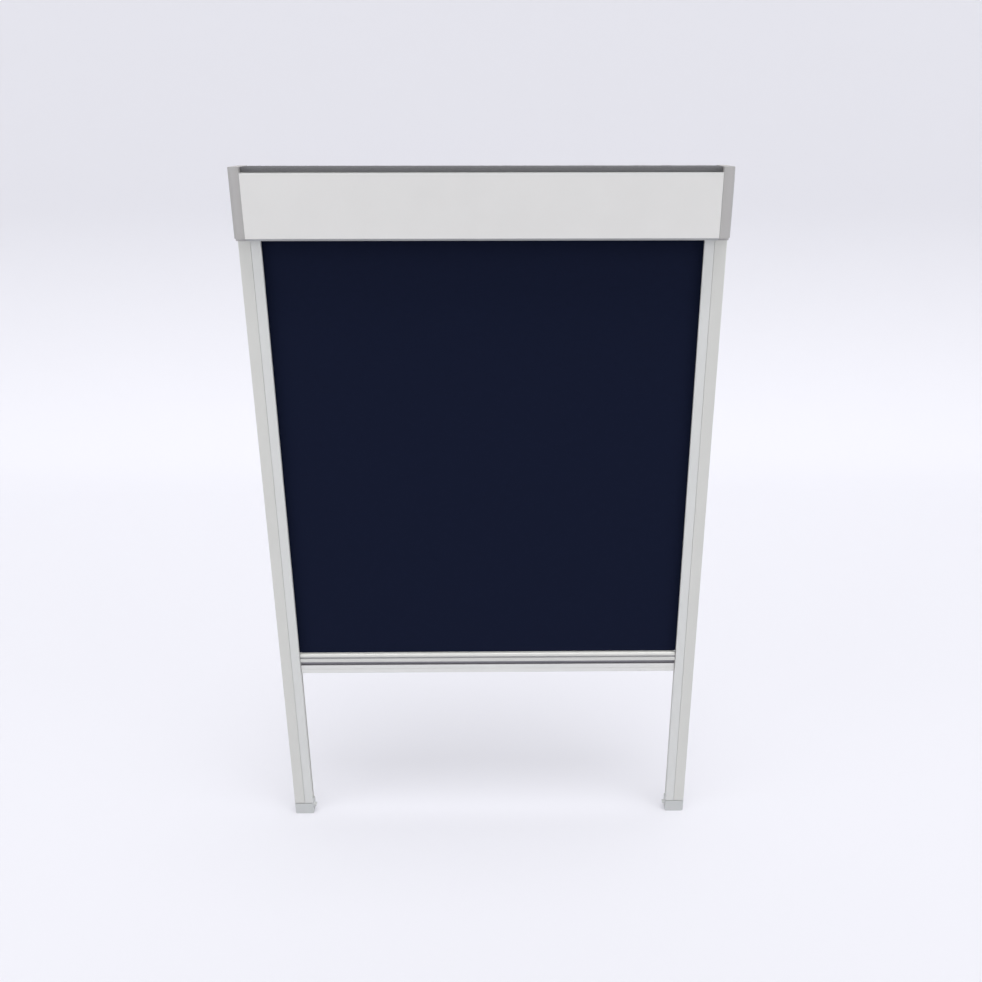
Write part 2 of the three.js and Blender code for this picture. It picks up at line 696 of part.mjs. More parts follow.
const webFront = fabricY - splineSeatRadius - FINGER_GROOVE_WEB;
const webRear = fabricFront - FIT;
const gripRib = about(fingerGrooveDown - GRIP_RIB_ABOVE_GROOVE, GRIP_RIB_HEIGHT);

// The strip with the two ridges: it hooks over the web's top, and its rib snaps into the web's slot
function barGripStrip() {
  const rear = webFront - FIT;
  const ridgeGrooveBack = barFront + RIDGE_GROOVE_DEPTH;
  const body = barPrism([
    [webRear, 0],
    [barFront, 0, UPPER_RIDGE_ROUND],
    [barFront, UPPER_RIDGE, RIDGE_FOOT_ROUND],
    [ridgeGrooveBack, UPPER_RIDGE],
    [ridgeGrooveBack, lowerRidgeDown],
    [barFront, lowerRidgeDown, RIDGE_EDGE_ROUND],
    [barFront, fingerGrooveDown, RIDGE_FOOT_ROUND],
    [rear, fingerGrooveDown],
    [rear, gripRib[1]],
    [rear + GRIP_RIB_REACH, gripRib[1]],
    [rear + GRIP_RIB_REACH, gripRib[0]],
    [rear, gripRib[0]],
    [rear, BAR_WALL],
    [webRear, BAR_WALL],
  ]);
  const hollows = [[0, UPPER_RIDGE], [lowerRidgeDown, fingerGrooveDown]].map(([top, foot]) => block(
    longer(barSpan),
    [barFront + BAR_WALL, rear - BAR_WALL],
    [downBar(top + BAR_WALL), downBar(foot - BAR_WALL)],
  ));
  return cutAll(body, ...hollows);
}

// The web in front of the fabric; its face is the back of the finger groove
function barFrontProfile() {
  const slotBack = webFront + GRIP_RIB_REACH;
  const body = barPrism([
    [webRear, BAR_WALL + FIT],
    [webFront, BAR_WALL + FIT],
    [webFront, gripRib[0] - FIT],
    [slotBack, gripRib[0] - FIT],
    [slotBack, gripRib[1] + FIT],
    [webFront, gripRib[1] + FIT],
    [webFront, webFootDown],
    [webRear, webFootDown],
  ]);
  return body.subtract(rod(splineSeatRadius, splinePlace, longer(barSpan)));
}

const flangeHollowDeep = [flangeFront + BAR_WALL, barBack - BAR_WALL];
const flangeHollowDown = [flangeDown + BAR_WALL, barFootDown - BAR_WALL];

function barBackProfile() {
  const front = fabricBack + FIT;
  const webBack = fabricY + splineSeatRadius + BACK_WEB;
  const line = about(flangeDown + FLANGE_LINE_BELOW_TOP, FLANGE_LINE_WIDTH);
  const body = barPrism([
    [front, BACK_WEB_BELOW_TOP],
    [barBack, BACK_WEB_BELOW_TOP, RIDGE_EDGE_ROUND],
    [barBack, BACK_WEB_BELOW_TOP + BACK_BEAD],
    [webBack, BACK_WEB_BELOW_TOP + BACK_BEAD],
    [webBack, flangeDown],
    [barBack, flangeDown],
    [barBack, barFootDown, FLANGE_ROUND],
    [flangeFront, barFootDown, FLANGE_ROUND],
    [flangeFront, line[1]],
    [flangeFront + FLANGE_LINE_DEPTH, line[1]],
    [flangeFront + FLANGE_LINE_DEPTH, line[0]],
    [flangeFront, line[0]],
    [flangeFront, flangeDown, FLANGE_ROUND / 2],
    [front, flangeDown],
  ]);
  const hollow = block(longer(barSpan), flangeHollowDeep, flangeHollowDown.map(downBar));
  return cutAll(body, hollow, rod(splineSeatRadius, splinePlace, longer(barSpan)));
}

// A guide's head runs in the rail behind the cover's lip, and its spigot fills the end of the bar
const padBack = railSkin + FIT + PAD_THICKNESS;
const guideAcross = [RAIL_JOINT + FIT / 2 + RAIL_WALL + GUIDE_TONGUE_GAP, RAIL_WIDTH - LIP_WALL - FIT];
const guideDown = [GUIDE_BELOW_TOP, barFootDown - BAR_WALL];

function endGuide(side) {
  const high = guideDown.map(downBar);
  const back = -RAIL_WALL - FIT;
  const neckFront = railFront + LIP_DEPTH + FIT;
  const plate = barEnd + FIT;
  const head = railBlock(side, guideAcross, [padBack + FIT, back], high);
  const neck = block([side * plate, acrossRail(side, guideAcross[1] - OVERRUN)], [neckFront, back], high);
  const spigotFront = flangeHollowDeep[0] + FIT;
  const spigotBack = flangeHollowDeep[1] - FIT;
  const spigotHigh = [downBar(flangeHollowDown[0] + FIT), downBar(flangeHollowDown[1] - FIT)];
  const spigot = block([side * (barEnd - GUIDE_SPIGOT), side * plate], [spigotFront, spigotBack], spigotHigh);
  const spigotRoot = block([side * barEnd, side * (plate + OVERRUN)], [neckFront, spigotBack], spigotHigh);
  return joinAll(head, neck, spigot, spigotRoot);
}

function brakePad(side) {
  const [outer, inner] = guideAcross;
  return railBlock(
    side,
    [outer + PAD_SIDE_INSET, inner - PAD_SIDE_INSET],
    [railSkin + FIT, padBack],
    [downBar(guideDown[0] + PAD_INSET), downBar(guideDown[1] - PAD_INSET)],
  );
}

// The fabric hangs from the back of the roll; below its shoulders a narrower tongue runs into the bar
function fabricSheet() {
  const shoulder = downBar(-FABRIC_SHOULDER_ABOVE_BAR);
  const foot = downBar(splineDown - SPLINE_RADIUS - FIT);
  const tongue = barEnd - BAR_WALL;
  return prism('y', [
    [-fabricHalf, 0],
    [fabricHalf, 0],
    [fabricHalf, shoulder],
    [tongue, shoulder],
    [tongue, foot],
    [-tongue, foot],
    [-tongue, shoulder],
    [-fabricHalf, shoulder],
  ], [fabricFront, fabricBack]);
}

const blind = new THREE.Group();

function add(name, finish, solid) {
  const mesh = new THREE.Mesh(geometryOf(solid), finish);
  mesh.name = name;
  blind.add(mesh);
}

function addHead() {
  const roundSocket = rod(PIN_RADIUS + FIT, axle, [OVERRUN - bossFace, -socketEnd]);
  const flatSocket = flattedRod(PIN_RADIUS + FIT, SHAFT_FLAT + FIT, [bossFace - OVERRUN, socketEnd]);
  add('head_back_profile', aluminium, headBack());
  add('head_front_cover', coverAluminium, headCover());
  add('top_light_seal', darkFoam, topSeal());
  add('end_cap_left', greyPlastic, endCap(sides.left, roundSocket));
  add('end_cap_right', greyPlastic, endCap(sides.right, flatSocket));
  for (const [name, side] of Object.entries(sides)) {
    add(`cap_screw_${name}_upper`, steel, capScrew(side, upperPort));
    add(`cap_screw_${name}_lower`, steel, capScrew(side, lowerPort));
    add(`mounting_bracket_${name}`, steel, mountingBracket(side));
    add(`rail_joiner_${name}`, paleGreyPlastic, joiner(side));
    add(`joiner_screw_${name}`, steel, sideScrew(side, joinerScrewZ));
  }
}

function addRoller() {
  add('roller_tube', aluminium, ring(TUBE_RADIUS, tubeBore, [-tubeEnd, tubeEnd]));
  add('fabric_roll', blackoutCloth, ring(rollRadius, TUBE_RADIUS + FIT, [-fabricHalf, fabricHalf]));
  add('idle_end_plug', whitePlastic, endPlug(sides.left));
  add('idle_pin', steel, rod(PIN_RADIUS, axle, [-shaftSeat, PIN_LENGTH - shaftSeat]));
  add('spring_end_plug', whitePlastic, endPlug(sides.right));
  add('spring_shaft', steel, springShaft());
  add('spring_anchor', whitePlastic, ring(ANCHOR_RADIUS, PIN_RADIUS + FIT, [anchorIn, anchorOut]));
  add('torsion_spring', springSteel, torsionSpring());
  add('spring_drive_plug', whitePlastic, ring(tubeBore - FIT, PIN_RADIUS + FIT, [drivePlugIn, drivePlugOut]));
}

function addRails() {
  for (const [name, side] of Object.entries(sides)) {
    add(`rail_channel_${name}`, aluminium, railChannel(side));
    add(`rail_cover_${name}`, coverAluminium, railCover(side));
    add(`rail_foot_cap_${name}`, paleGreyPlastic, footCap(side));
    add(`foot_screw_${name}`, steel, sideScrew(side, footScrewZ));
  }
}

function addBar() {
  add('bar_grip_strip', aluminium, barGripStrip());
  add('bar_front_profile', aluminium, barFrontProfile());
  add('bar_back_profile', coverAluminium, barBackProfile());
  add('fabric_spline', whitePlastic, rod(SPLINE_RADIUS, splinePlace, barSpan, SCREW_SIDES));
  for (const [name, side] of Object.entries(sides)) {
    add(`bar_end_guide_${name}`, greyPlastic, endGuide(side));
    add(`brake_pad_${name}`, felt, brakePad(side));
  }
  add('fabric_sheet', blackoutCloth, fabricSheet());
}

addHead();
addRoller();
addRails();
addBar();

export default blind;
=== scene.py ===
"""Looks of the skylight roller blind: camera, light, finishes and the finer surfaces.

Lengths are metres in the blind's own frame: X to the right seen from the room, Y through the window
towards the glass and Z up along the window. The origin is the middle of the head box's back face, level
with the roller's axle.
"""

import json
import math

import bmesh
import bpy
import numpy as np
from mathutils import Matrix, Vector
from mathutils.geometry import tessellate_polygon


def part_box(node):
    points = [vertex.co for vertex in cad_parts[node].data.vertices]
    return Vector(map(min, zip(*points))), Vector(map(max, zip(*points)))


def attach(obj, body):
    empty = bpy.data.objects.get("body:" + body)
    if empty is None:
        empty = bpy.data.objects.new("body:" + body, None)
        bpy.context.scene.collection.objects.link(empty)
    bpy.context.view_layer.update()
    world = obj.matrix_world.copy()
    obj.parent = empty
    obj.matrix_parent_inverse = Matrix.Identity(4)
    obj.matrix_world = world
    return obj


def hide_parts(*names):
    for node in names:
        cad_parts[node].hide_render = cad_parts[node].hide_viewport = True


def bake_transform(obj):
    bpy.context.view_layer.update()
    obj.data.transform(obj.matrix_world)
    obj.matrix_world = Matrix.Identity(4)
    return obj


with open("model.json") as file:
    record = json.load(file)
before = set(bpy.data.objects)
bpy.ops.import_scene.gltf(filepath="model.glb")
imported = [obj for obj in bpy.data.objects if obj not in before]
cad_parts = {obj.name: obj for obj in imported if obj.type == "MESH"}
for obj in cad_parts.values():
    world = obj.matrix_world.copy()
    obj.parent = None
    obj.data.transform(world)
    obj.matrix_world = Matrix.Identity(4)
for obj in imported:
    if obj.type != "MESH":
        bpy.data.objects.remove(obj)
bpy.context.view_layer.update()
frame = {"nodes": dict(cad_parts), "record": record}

MM = 0.001

# Camera, fitted to the straight edges of the photograph: its place, its turns in degrees and its lens
CAMERA_PLACE = (25.9 * MM, -1314.4 * MM, 97.8 * MM)
CAMERA_TURNS = (("X", 90), ("X", -21.14), ("Y", -0.56), ("Z", -0.25))
IMAGE_PIXELS = 982
FOCAL_PIXELS = 950
CENTRE_PIXEL_X = 513
SENSOR_WIDTH = 36

# Light and surroundings
SKY_COLOUR = "#FBFCFF"
SKY_STRENGTH = 0.51
SKY_SEEN_STRENGTH = 0.86
TOP_LAMP_FROM = (0.08, -0.15, 1)
TOP_LAMP_LEVEL = 0.68
SIDE_LAMP_FROM = (1, -0.65, 0.15)
SIDE_LAMP_LEVEL = 0.35
LAMP_SPREAD = math.radians(40)
BACKDROP_COLOUR = "#B8B8BE"
BACKDROP_GLOW_COLOUR = "#FBFAFF"
BACKDROP_GLOW = 0.31
BACKDROP_BEHIND = 1.5
BACKDROP_HALF_WIDTH = 9
BACKDROP_HEIGHT = 3
BACKDROP_FRONT = -9
BACKDROP_SWEEP = 0.8

# Colours, matched to the photograph on the pieces that it shows
RAIL_COLOUR = "#D0D0CC"
# The web's dark grey is painted shade: it darkens the finger groove that the web lies behind, and the
# flange's top ledge
WEB_SHADE_COLOUR = "#88878E"
# The groove colour is painted shade in the fine groove between the grip ridges
GROOVE_SHADE_COLOUR = "#B0B0B2"
COVER_COLOUR = "#D4D5D3"
PANEL_COLOUR = "#DAD9D7"
# The panel edge colour is painted shade on the panel's under-lip and top round
PANEL_EDGE_SHADE_COLOUR = "#B4B5B6"
FLANGE_COLOUR = "#DFDFDD"
CAP_COLOUR = "#AAA8A7"
FOOT_COLOUR = "#C3C5C5"
# The seal's dark grey is the foam's own colour and also painted shade for the gap above the head box
SEAL_AND_GAP_SHADE_COLOUR = "#6F6F71"
CLOTH_COLOUR = "#141A2F"
COATING_COLOUR = "#20242F"
WHITE_COLOUR = "#E8E8E5"
FELT_COLOUR = "#3B3C40"
STEEL_COLOUR = "#C4C6C8"
SPRING_COLOUR = "#7D8084"
DUST_COLOUR = "#B9B5AC"

# Patterns of the finishes, in waves, threads or grains per metre
LINES_ALONG_X = (6.0, 2500.0, 2500.0)
LINES_ALONG_Z = (2500.0, 2500.0, 6.0)
SLUBS_ALONG_X = (25.0, 1.0, 1400.0)
METAL_CLOUDS = 18.0
SKIN_CLOUDS = 40.0
DUST_SPECKS = 260.0
CLOTH_THREADS = 1800.0
PLASTIC_GRAINS = 1600.0
METAL_GRAINS = 2600.0

# Shares: a thread's height and its swing, where most of a noise lies, and the rise that dust lies on
WEAVE_LEVEL = 0.6
WEAVE_SWING = 0.4
NOISE_REACH = (0.3, 0.7)
DUSTY_RISE = (0.5, 0.95)

# Sizes shared with the solids
SIDES = {"left": -1, "right": 1}
HALF_WIDTH = 325 * MM
CLEARANCE = 0.3 * MM
HEAD_WALL = 1.5 * MM
UNDER_LIP_DROP = 2.8 * MM
UNDER_LIP_SETBACK = 1.5 * MM
UNDER_LIP_SLANT = 3 * MM
TOP_HOOK_SETBACK = 7.7 * MM
TOP_HOOK_DROP = 4.5 * MM
MOUTH_LIP = 6 * MM
PORT_RADIUS = 4 * MM
PORT_BORE = 1.9 * MM
PORT_WEB = 2.4 * MM
RAIL_WIDTH = 30 * MM
RAIL_WALL = 1.5 * MM
RAIL_JOINT = 16.5 * MM
TONGUE_WALL = 1.3 * MM
TONGUE_REACH = 5.5 * MM
WOOD_SCREW_HOLE_RADIUS = 2.3 * MM
FIXING_ACCESS_RADIUS = 4.6 * MM
FIXING_PLACE_SHARES = (0.12, 0.5, 0.88)
SIDE_SCREW_HOLE_RADIUS = 3.3 * MM
BRACKET_THICKNESS = 1.5 * MM
BRACKET_ROUND = 3 * MM
BRACKET_HOLE_FROM_TONGUE = 11 * MM
BRACKET_TONGUE_BELOW_TOP = 13 * MM
BRACKET_TONGUE_ABOVE_FOOT = 6.4 * MM
BRACKET_TONGUE_HEIGHT = 2 * MM
BRACKET_TONGUE_WIDTH = 10 * MM
BAR_WALL = 1.3 * MM
UPPER_RIDGE = 5.4 * MM
RIDGE_GROOVE = 1.8 * MM
RIDGE_GROOVE_DEPTH = 2.4 * MM
GRIP_RIB_HEIGHT = 1.2 * MM
GRIP_RIB_REACH = 1 * MM
GRIP_RIB_ABOVE_GROOVE = 2.5 * MM
BACK_WEB = 0.7 * MM
BACK_BEAD = 4 * MM
FLANGE_LINE_BELOW_TOP = 7 * MM
FLANGE_LINE_DEPTH = 0.7 * MM
SPLINE_RADIUS = 1.6 * MM
SEAT_RADIUS = SPLINE_RADIUS + 2 * CLEARANCE
SPRING_TURNS = 24
SPRING_WIRE_RADIUS = 0.8 * MM

# Finer sizes, of rounded edges and small details
PANEL_ROUND = 0.8 * MM
LIP_ROUND = 0.7 * MM
UNDER_LIP_ROUND = 0.5 * MM
WALL_ROUND = 0.5 * MM
RAIL_EDGE_ROUND = 0.8 * MM
RAIL_BACK_ROUND = 0.4 * MM
SEAM_ROUND = 0.25 * MM
COVER_INNER_ROUND = 1.1 * MM
COVER_LIP_ROUND = TONGUE_WALL / 2.2
UPPER_RIDGE_LEAN = 1 * MM
UPPER_RIDGE_CROWN = 4 * MM
UPPER_RIDGE_FOOT_ROUND = 1 * MM
RIDGE_FOOT_ROUND = 1.4 * MM
RIDGE_EDGE_ROUND = 0.45 * MM
GROOVE_EDGE_ROUND = 0.25 * MM
FLANGE_ROUND = 1.4 * MM
FLANGE_TOP_ROUND = 0.7 * MM
FLANGE_LINE_WIDTH = 1.6 * MM
CAP_EDGE_ROUND = 0.35 * MM
FOOT_EDGE_ROUND = 0.5 * MM
BACK_EDGE_ROUND = 0.2 * MM
SHOULDER_ABOVE_BAR = 0.4 * MM
SHOULDER_STEP = 0.01 * MM
ROLL_PITCH = 0.55 * MM
ROLL_BAND_SHARE = 0.9
HEAD_DOME = 0.25 * MM
HEAD_EDGE_ROUND = 0.4 * MM
RECESS_WIDTH = 1 * MM
RECESS_SLOPE = 0.12 * MM
RECESS_REACH_SHARE = 0.58
THREAD_PITCH = 1.2 * MM
THREAD_DEPTH = 0.35 * MM

# Screws: the height of the head, the radius of the shank and the depth of the recess
CAP_SCREW = (2.2 * MM, 1.6 * MM, 1.1 * MM)
SIDE_SCREW = (1.2 * MM, 1.4 * MM, 0.7 * MM)

# Uneven skins of the foam and the felt
SEAL_ROUND = 1.5 * MM
SEAL_UNEVENNESS = 0.12 * MM
SEAL_SEED = 3
PAD_ROUND = 0.3 * MM
PAD_INSET = 0.05 * MM
PAD_SEED = 11
UNEVEN_WAVES = 48
SHORTEST_WAVE = 1.2 * MM
LONGEST_WAVE = 9 * MM

# Fineness of the meshes, and what counts as one place, flat or sharp
ARC_POINTS = 8
CIRCLE_POINTS = 48
CROWN_POINTS = 16
CURVE_POINTS = 24
SEAL_STEP = 1.6 * MM
SEAL_END_RINGS = 4
PAD_RINGS = 60
FABRIC_COLUMNS = 61
FABRIC_ROWS = 90
ROLL_STEPS = 90
SPRING_STEPS = 36
WIRE_SIDES = 12
FACE_RINGS = 30
RIM_POINTS = 7
HEAD_SIDES = 96
SHANK_SIDES = 24
THREAD_STEPS = 6
BEVEL_SEGMENTS = 3
SAME_PLACE = 0.001 * MM
BAND_MARGIN = 0.1 * MM
FLAT_BELOW = math.radians(1)
SMOOTH_BELOW = math.radians(30)
BEVEL_ABOVE = math.radians(35)


# Outlines

def unit_circle(turn):
    """The points (cos t, sin t) at an array of angles."""
    return np.stack([np.cos(turn), np.sin(turn)], -1)


def full_turn(sides):
    """Even angles once round, the last one a step short of the first."""
    return np.linspace(0, 2 * np.pi, sides, endpoint=False)


def ring_points(radius, middle):
    """Evenly spread points of a circle: middle + radius * (cos t, sin t)."""
    return np.array(middle) + radius * unit_circle(full_turn(CIRCLE_POINTS))


def about(middle, width):
    """The two ends of a width about its middle."""
    return middle - width / 2, middle + width / 2


def rectangle(across, up):
    """The corners of an upright rectangle."""
    return [(across[0], up[0]), (across[1], up[0]), (across[1], up[1]), (across[0], up[1])]


def middle_line(node):
    """The line along X through the middle of a node, as (y, z)."""
    low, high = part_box(node)
    return (low.y + high.y) / 2, (low.z + high.z) / 2


def rounded_outline(corners):
    """A closed outline through corners (a, b) or (a, b, radius), each turned by an arc of its radius.

    The arc's centre lies on the corner's bisector, radius / sin(half angle) away, and its points are
    centre + radius * (cos t, sin t) while t runs from one tangent point to the other.
    """
    places = np.array([corner[:2] for corner in corners], float)
    parts = []
    for k, (place, corner) in enumerate(zip(places, corners)):
        radius = corner[2] if len(corner) > 2 else 0
        if radius == 0:
            parts.append(place[None])
            continue
        back, on = places[k - 1] - place, places[(k + 1) % len(places)] - place
        back, on = back / np.linalg.norm(back), on / np.linalg.norm(on)
        half = math.acos(np.clip(back @ on, -1, 1)) / 2
        centre = place + (back + on) / np.linalg.norm(back + on) * radius / math.sin(half)
        first, last = (place + way * radius / math.tan(half) - centre for way in (back, on))
        start = math.atan2(first[1], first[0])
        turn = (math.atan2(last[1], last[0]) - start + math.pi) % (2 * math.pi) - math.pi
        parts.append(centre + radius * unit_circle(start + turn * np.linspace(0, 1, ARC_POINTS)))
    return np.concatenate(parts)


def even_steps(outline, step):
    """A closed outline's points spread evenly along it, about a step apart."""
    closed = np.vstack([outline, outline[:1]])
    run = np.concatenate([[0], np.cumsum(np.linalg.norm(np.diff(closed, axis=0), axis=1))])
    places = np.linspace(0, run[-1], int(run[-1] / step), endpoint=False)
    return np.stack([np.interp(places, run, closed[:, k]) for k in (0, 1)], 1)


# Meshes

def add_object(name, data):
    """A new object in the scene, at the origin."""
    made = bpy.data.objects.new(name, data)
    bpy.context.scene.collection.objects.link(made)
    return made


def smooth_rounds(mesh):
    """Smooth shading where faces meet at a small angle, and sharp edges elsewhere."""
    mesh.shade_smooth()
    mesh.set_sharp_from_angle(angle=SMOOTH_BELOW)


def clean(mesh, join_flats=False):
    """Makes points in one place one, and joins up the flat faces or turns every face outwards."""
    work = bmesh.new()
    work.from_mesh(mesh)
    bmesh.ops.remove_doubles(work, verts=work.verts, dist=SAME_PLACE)
    if join_flats:
        bmesh.ops.dissolve_limit(work, angle_limit=FLAT_BELOW, verts=work.verts, edges=work.edges)
    else:
        bmesh.ops.recalc_face_normals(work, faces=work.faces)
    work.to_mesh(mesh)
    work.free()
    smooth_rounds(mesh)


def mesh_object(name, places, faces):
    """A mesh as an object of its own, from its points and faces."""
    mesh = bpy.data.meshes.new(name)
    mesh.from_pydata(np.asarray(places).tolist(), [], faces)
    clean(mesh)
    return add_object(name, mesh)


def grid_faces(rows, columns, closed=True, start=0, step=0):
    """The four-sided faces of a grid of points, its last column joined to its first where it is closed.

    Its first point is number start, and each row begins step points on, or a row's points on by default.
    """
    i, j = np.meshgrid(np.arange(rows - 1), np.arange(columns if closed else columns - 1), indexing="ij")
    row, on = start + i * (step or columns), start + (i + 1) * (step or columns)
    beside = (j + 1) % columns
    return np.stack([row + j, row + beside, on + beside, on + j], -1).reshape(-1, 4).tolist()


def band_faces(rows, count):
    """The faces of closed loops whose second half runs back beside the first, and of the two ends between."""
    k = np.arange(count // 2 - 1)
    end = np.stack([k, k + 1, count - 2 - k, count - 1 - k], 1)
    return grid_faces(rows, count) + end.tolist() + (end + (rows - 1) * count).tolist()


def carry_along_x(loop, stations):
    """The points (x, y, z) of a loop (y, z) at every station x, or of one loop for each station."""
    rows, count = len(stations), np.shape(loop)[-2]
    run = np.broadcast_to(np.reshape(stations, (rows, 1, 1)), (rows, count, 1))
    return np.concatenate([run, np.broadcast_to(loop, (rows, count, 2))], 2).reshape(-1, 3)


def keep_flats_flat(piece):
    """Lets the large flats set the smooth shading, so that a rounded edge doesn't shade its flat."""
    piece.modifiers.new("Flat faces", "WEIGHTED_NORMAL").keep_sharp = True
    return piece


def extrusion(name, loops, stations, along="x"):
    """Closed profiles carried straight along an axis: point (s, k) is point k of the loops at station s.

    Along X a loop point is (y, z), and along Z it is (x, y). The first loop is the outline, the others are
    hollows in it, and each end is filled flat between them.
    """
    rows, count = len(stations), sum(len(loop) for loop in loops)
    places = carry_along_x(np.concatenate(loops), stations)
    if along == "z":
        places = np.roll(places, -1, 1)
    faces = []
    start = 0
    for loop in loops:
        faces += grid_faces(rows, len(loop), start=start, step=count)
        start += len(loop)
    flat = tessellate_polygon([[(*point, 0) for point in loop] for loop in loops])
    faces += [[end + k for k in triangle] for end in (0, (rows - 1) * count) for triangle in flat]
    return keep_flats_flat(mesh_object(name, places, faces))


def closed_tube(around, stations):
    """Points and faces of a loop (y, z) carried along X, with ends of rings that shrink to its middle."""
    middle = around.mean(0)
    shrink = np.linspace(0, 1, SEAL_END_RINGS, endpoint=False)
    scales = np.concatenate([shrink, np.ones(len(stations)), shrink[::-1]])
    runs = np.pad(stations, SEAL_END_RINGS, mode="edge")
    loops = middle + (around - middle) * scales[:, None, None]
    return carry_along_x(loops, runs), grid_faces(len(runs), len(around))


def lathe_points(runs, radii, middle, side):
    """Rings about a line along X: point (i, t) is (side * run, middle + radius * (cos t, sin t))."""
    circle = unit_circle(full_turn(runs.shape[1]))
    return np.concatenate([side * runs[..., None], middle + radii[..., None] * circle], -1).reshape(-1, 3)


def join_pieces(first, *others):
    """Puts the surfaces of the others into the first one's mesh."""
    work = bmesh.new()
    for piece in (first, *others):
        work.from_mesh(piece.data)
    work.to_mesh(first.data)
    work.free()
    for piece in others:
        bpy.data.objects.remove(piece)


def bore_through(piece, bores):
    """Round holes along X through a piece, each kind given as (places (y, z), radius, (from x, to x))."""
    piece.modifiers.clear()
    cutters = [extrusion("bore", [ring_points(radius, place)], span)
               for places, radius, span in bores for place in places]
    for cutter in cutters:
        cut = piece.modifiers.new("Bore", "BOOLEAN")
        cut.operation = "DIFFERENCE"
        cut.solver = "EXACT"
        cut.object = cutter
    bpy.context.view_layer.update()
    piece_now = piece.evaluated_get(bpy.context.evaluated_depsgraph_get())
    shaped = bpy.data.meshes.new_from_object(piece_now)
    piece.modifiers.clear()
    piece.data = shaped
    smooth_rounds(shaped)
    for cutter in cutters:
        bpy.data.objects.remove(cutter)
    keep_flats_flat(piece)


def roughen(piece, depth, seed):
    """Moves every point of a mesh along its normal by a soft unevenness.

    At p it is depth / sqrt(waves) * the sum over the waves of sin(2 pi p . direction / length + phase),
    where each wave has a random direction, length and phase.
    """
    chance = np.random.default_rng(seed)
    directions = chance.normal(size=(UNEVEN_WAVES, 3))
    directions /= np.linalg.norm(directions, axis=1, keepdims=True)
    lengths = chance.uniform(SHORTEST_WAVE, LONGEST_WAVE, UNEVEN_WAVES)
    phases = chance.uniform(0, 2 * np.pi, UNEVEN_WAVES)
    vertices = piece.data.vertices
    places, normals = np.empty((2, len(vertices), 3))
    vertices.foreach_get("co", places.ravel())
    vertices.foreach_get("normal", normals.ravel())
    sines = np.sin(places @ (directions / lengths[:, None]).T * 2 * np.pi + phases)
    raised = depth * sines.sum(1, keepdims=True) / math.sqrt(UNEVEN_WAVES)
    vertices.foreach_set("co", (places + normals * raised).ravel())
    piece.data.update()


def face_middles(piece):
    """The middle of each face of a piece, as arrays of x, y and z."""
    middles = np.empty(len(piece.data.polygons) * 3)
    piece.data.polygons.foreach_get("center", middles)
    return middles.reshape(-1, 3).T


# Shader node groups, each built once and placed in the finishes that show its effect

def place_node(tree, kind, inputs=None, **settings):
    """A node in the tree, with its settings, and with each input given a value or a link."""
    made = tree.nodes.new(kind)
    for name, value in settings.items():
        setattr(made, name, value)
    for label, value in (inputs or {}).items():
        if isinstance(value, bpy.types.NodeSocket):
            tree.links.new(value, made.inputs[label])
        else:
            made.inputs[label].default_value = value
    return made


def calculate(tree, operation, *values):
    """The result of one sum on numbers or sockets."""
    return place_node(tree, "ShaderNodeMath", dict(enumerate(values)), operation=operation).outputs[0]


def object_place(tree):
    """The place of a surface point in its own object."""
    return place_node(tree, "ShaderNodeTexCoord").outputs["Object"]


def stretched_place(tree, scale):
    """The same place, times a scale for each axis."""
    return place_node(tree, "ShaderNodeMapping", {"Vector": object_place(tree), "Scale": scale}).outputs[0]


def map_range(tree, value, reach, low=0.0, high=1.0):
    """A number that goes from low to high while the value goes over its reach."""
    values = {"Value": value, "From Min": reach[0], "From Max": reach[1], "To Min": low, "To Max": high}
    return place_node(tree, "ShaderNodeMapRange", values).outputs[0]


def noise(tree, place, scale, detail, roughness=0.5):
    """A soft noise between 0 and 1."""
    values = {"Vector": place, "Scale": scale, "Detail": detail, "Roughness": roughness}
    return place_node(tree, "ShaderNodeTexNoise", values).outputs["Fac"]


def new_group(name, **inputs):
    """An empty shader group and its named inputs, each a number or a vector."""
    group = bpy.data.node_groups.new(name, "ShaderNodeTree")
    for label, value in inputs.items():
        kind = "NodeSocketVector" if isinstance(value, tuple) else "NodeSocketFloat"
        group.interface.new_socket(label, in_out="INPUT", socket_type=kind).default_value = value
    return group, group.nodes.new("NodeGroupInput").outputs


def put_out(group, **results):
    """The group, now with a named number output for each result."""
    for label in results:
        group.interface.new_socket(label, in_out="OUTPUT", socket_type="NodeSocketFloat")
    place_node(group, "NodeGroupOutput", results)
    return group


def drawn_lines_group():
    """Fine lines along an extrusion, noise stretched by Frequency per metre, and a slow cloud over it."""
    group, entry = new_group("Drawn lines", Frequency=LINES_ALONG_X)
    lines = noise(group, stretched_place(group, entry["Frequency"]), scale=1.0, detail=3.0, roughness=0.6)
    cloud = noise(group, object_place(group), scale=METAL_CLOUDS, detail=3.0)
    return put_out(group, Lines=lines, Cloud=cloud)


def moulded_skin_group():
    """The fine eroded skin of a moulded piece, in grains per metre, and a slow cloud over it."""
    group, entry = new_group("Moulded skin", Grains=PLASTIC_GRAINS)
    grain = noise(group, object_place(group), scale=entry["Grains"], detail=2.0)
    cloud = noise(group, object_place(group), scale=SKIN_CLOUDS, detail=3.0)
    return put_out(group, Grain=grain, Cloud=cloud)


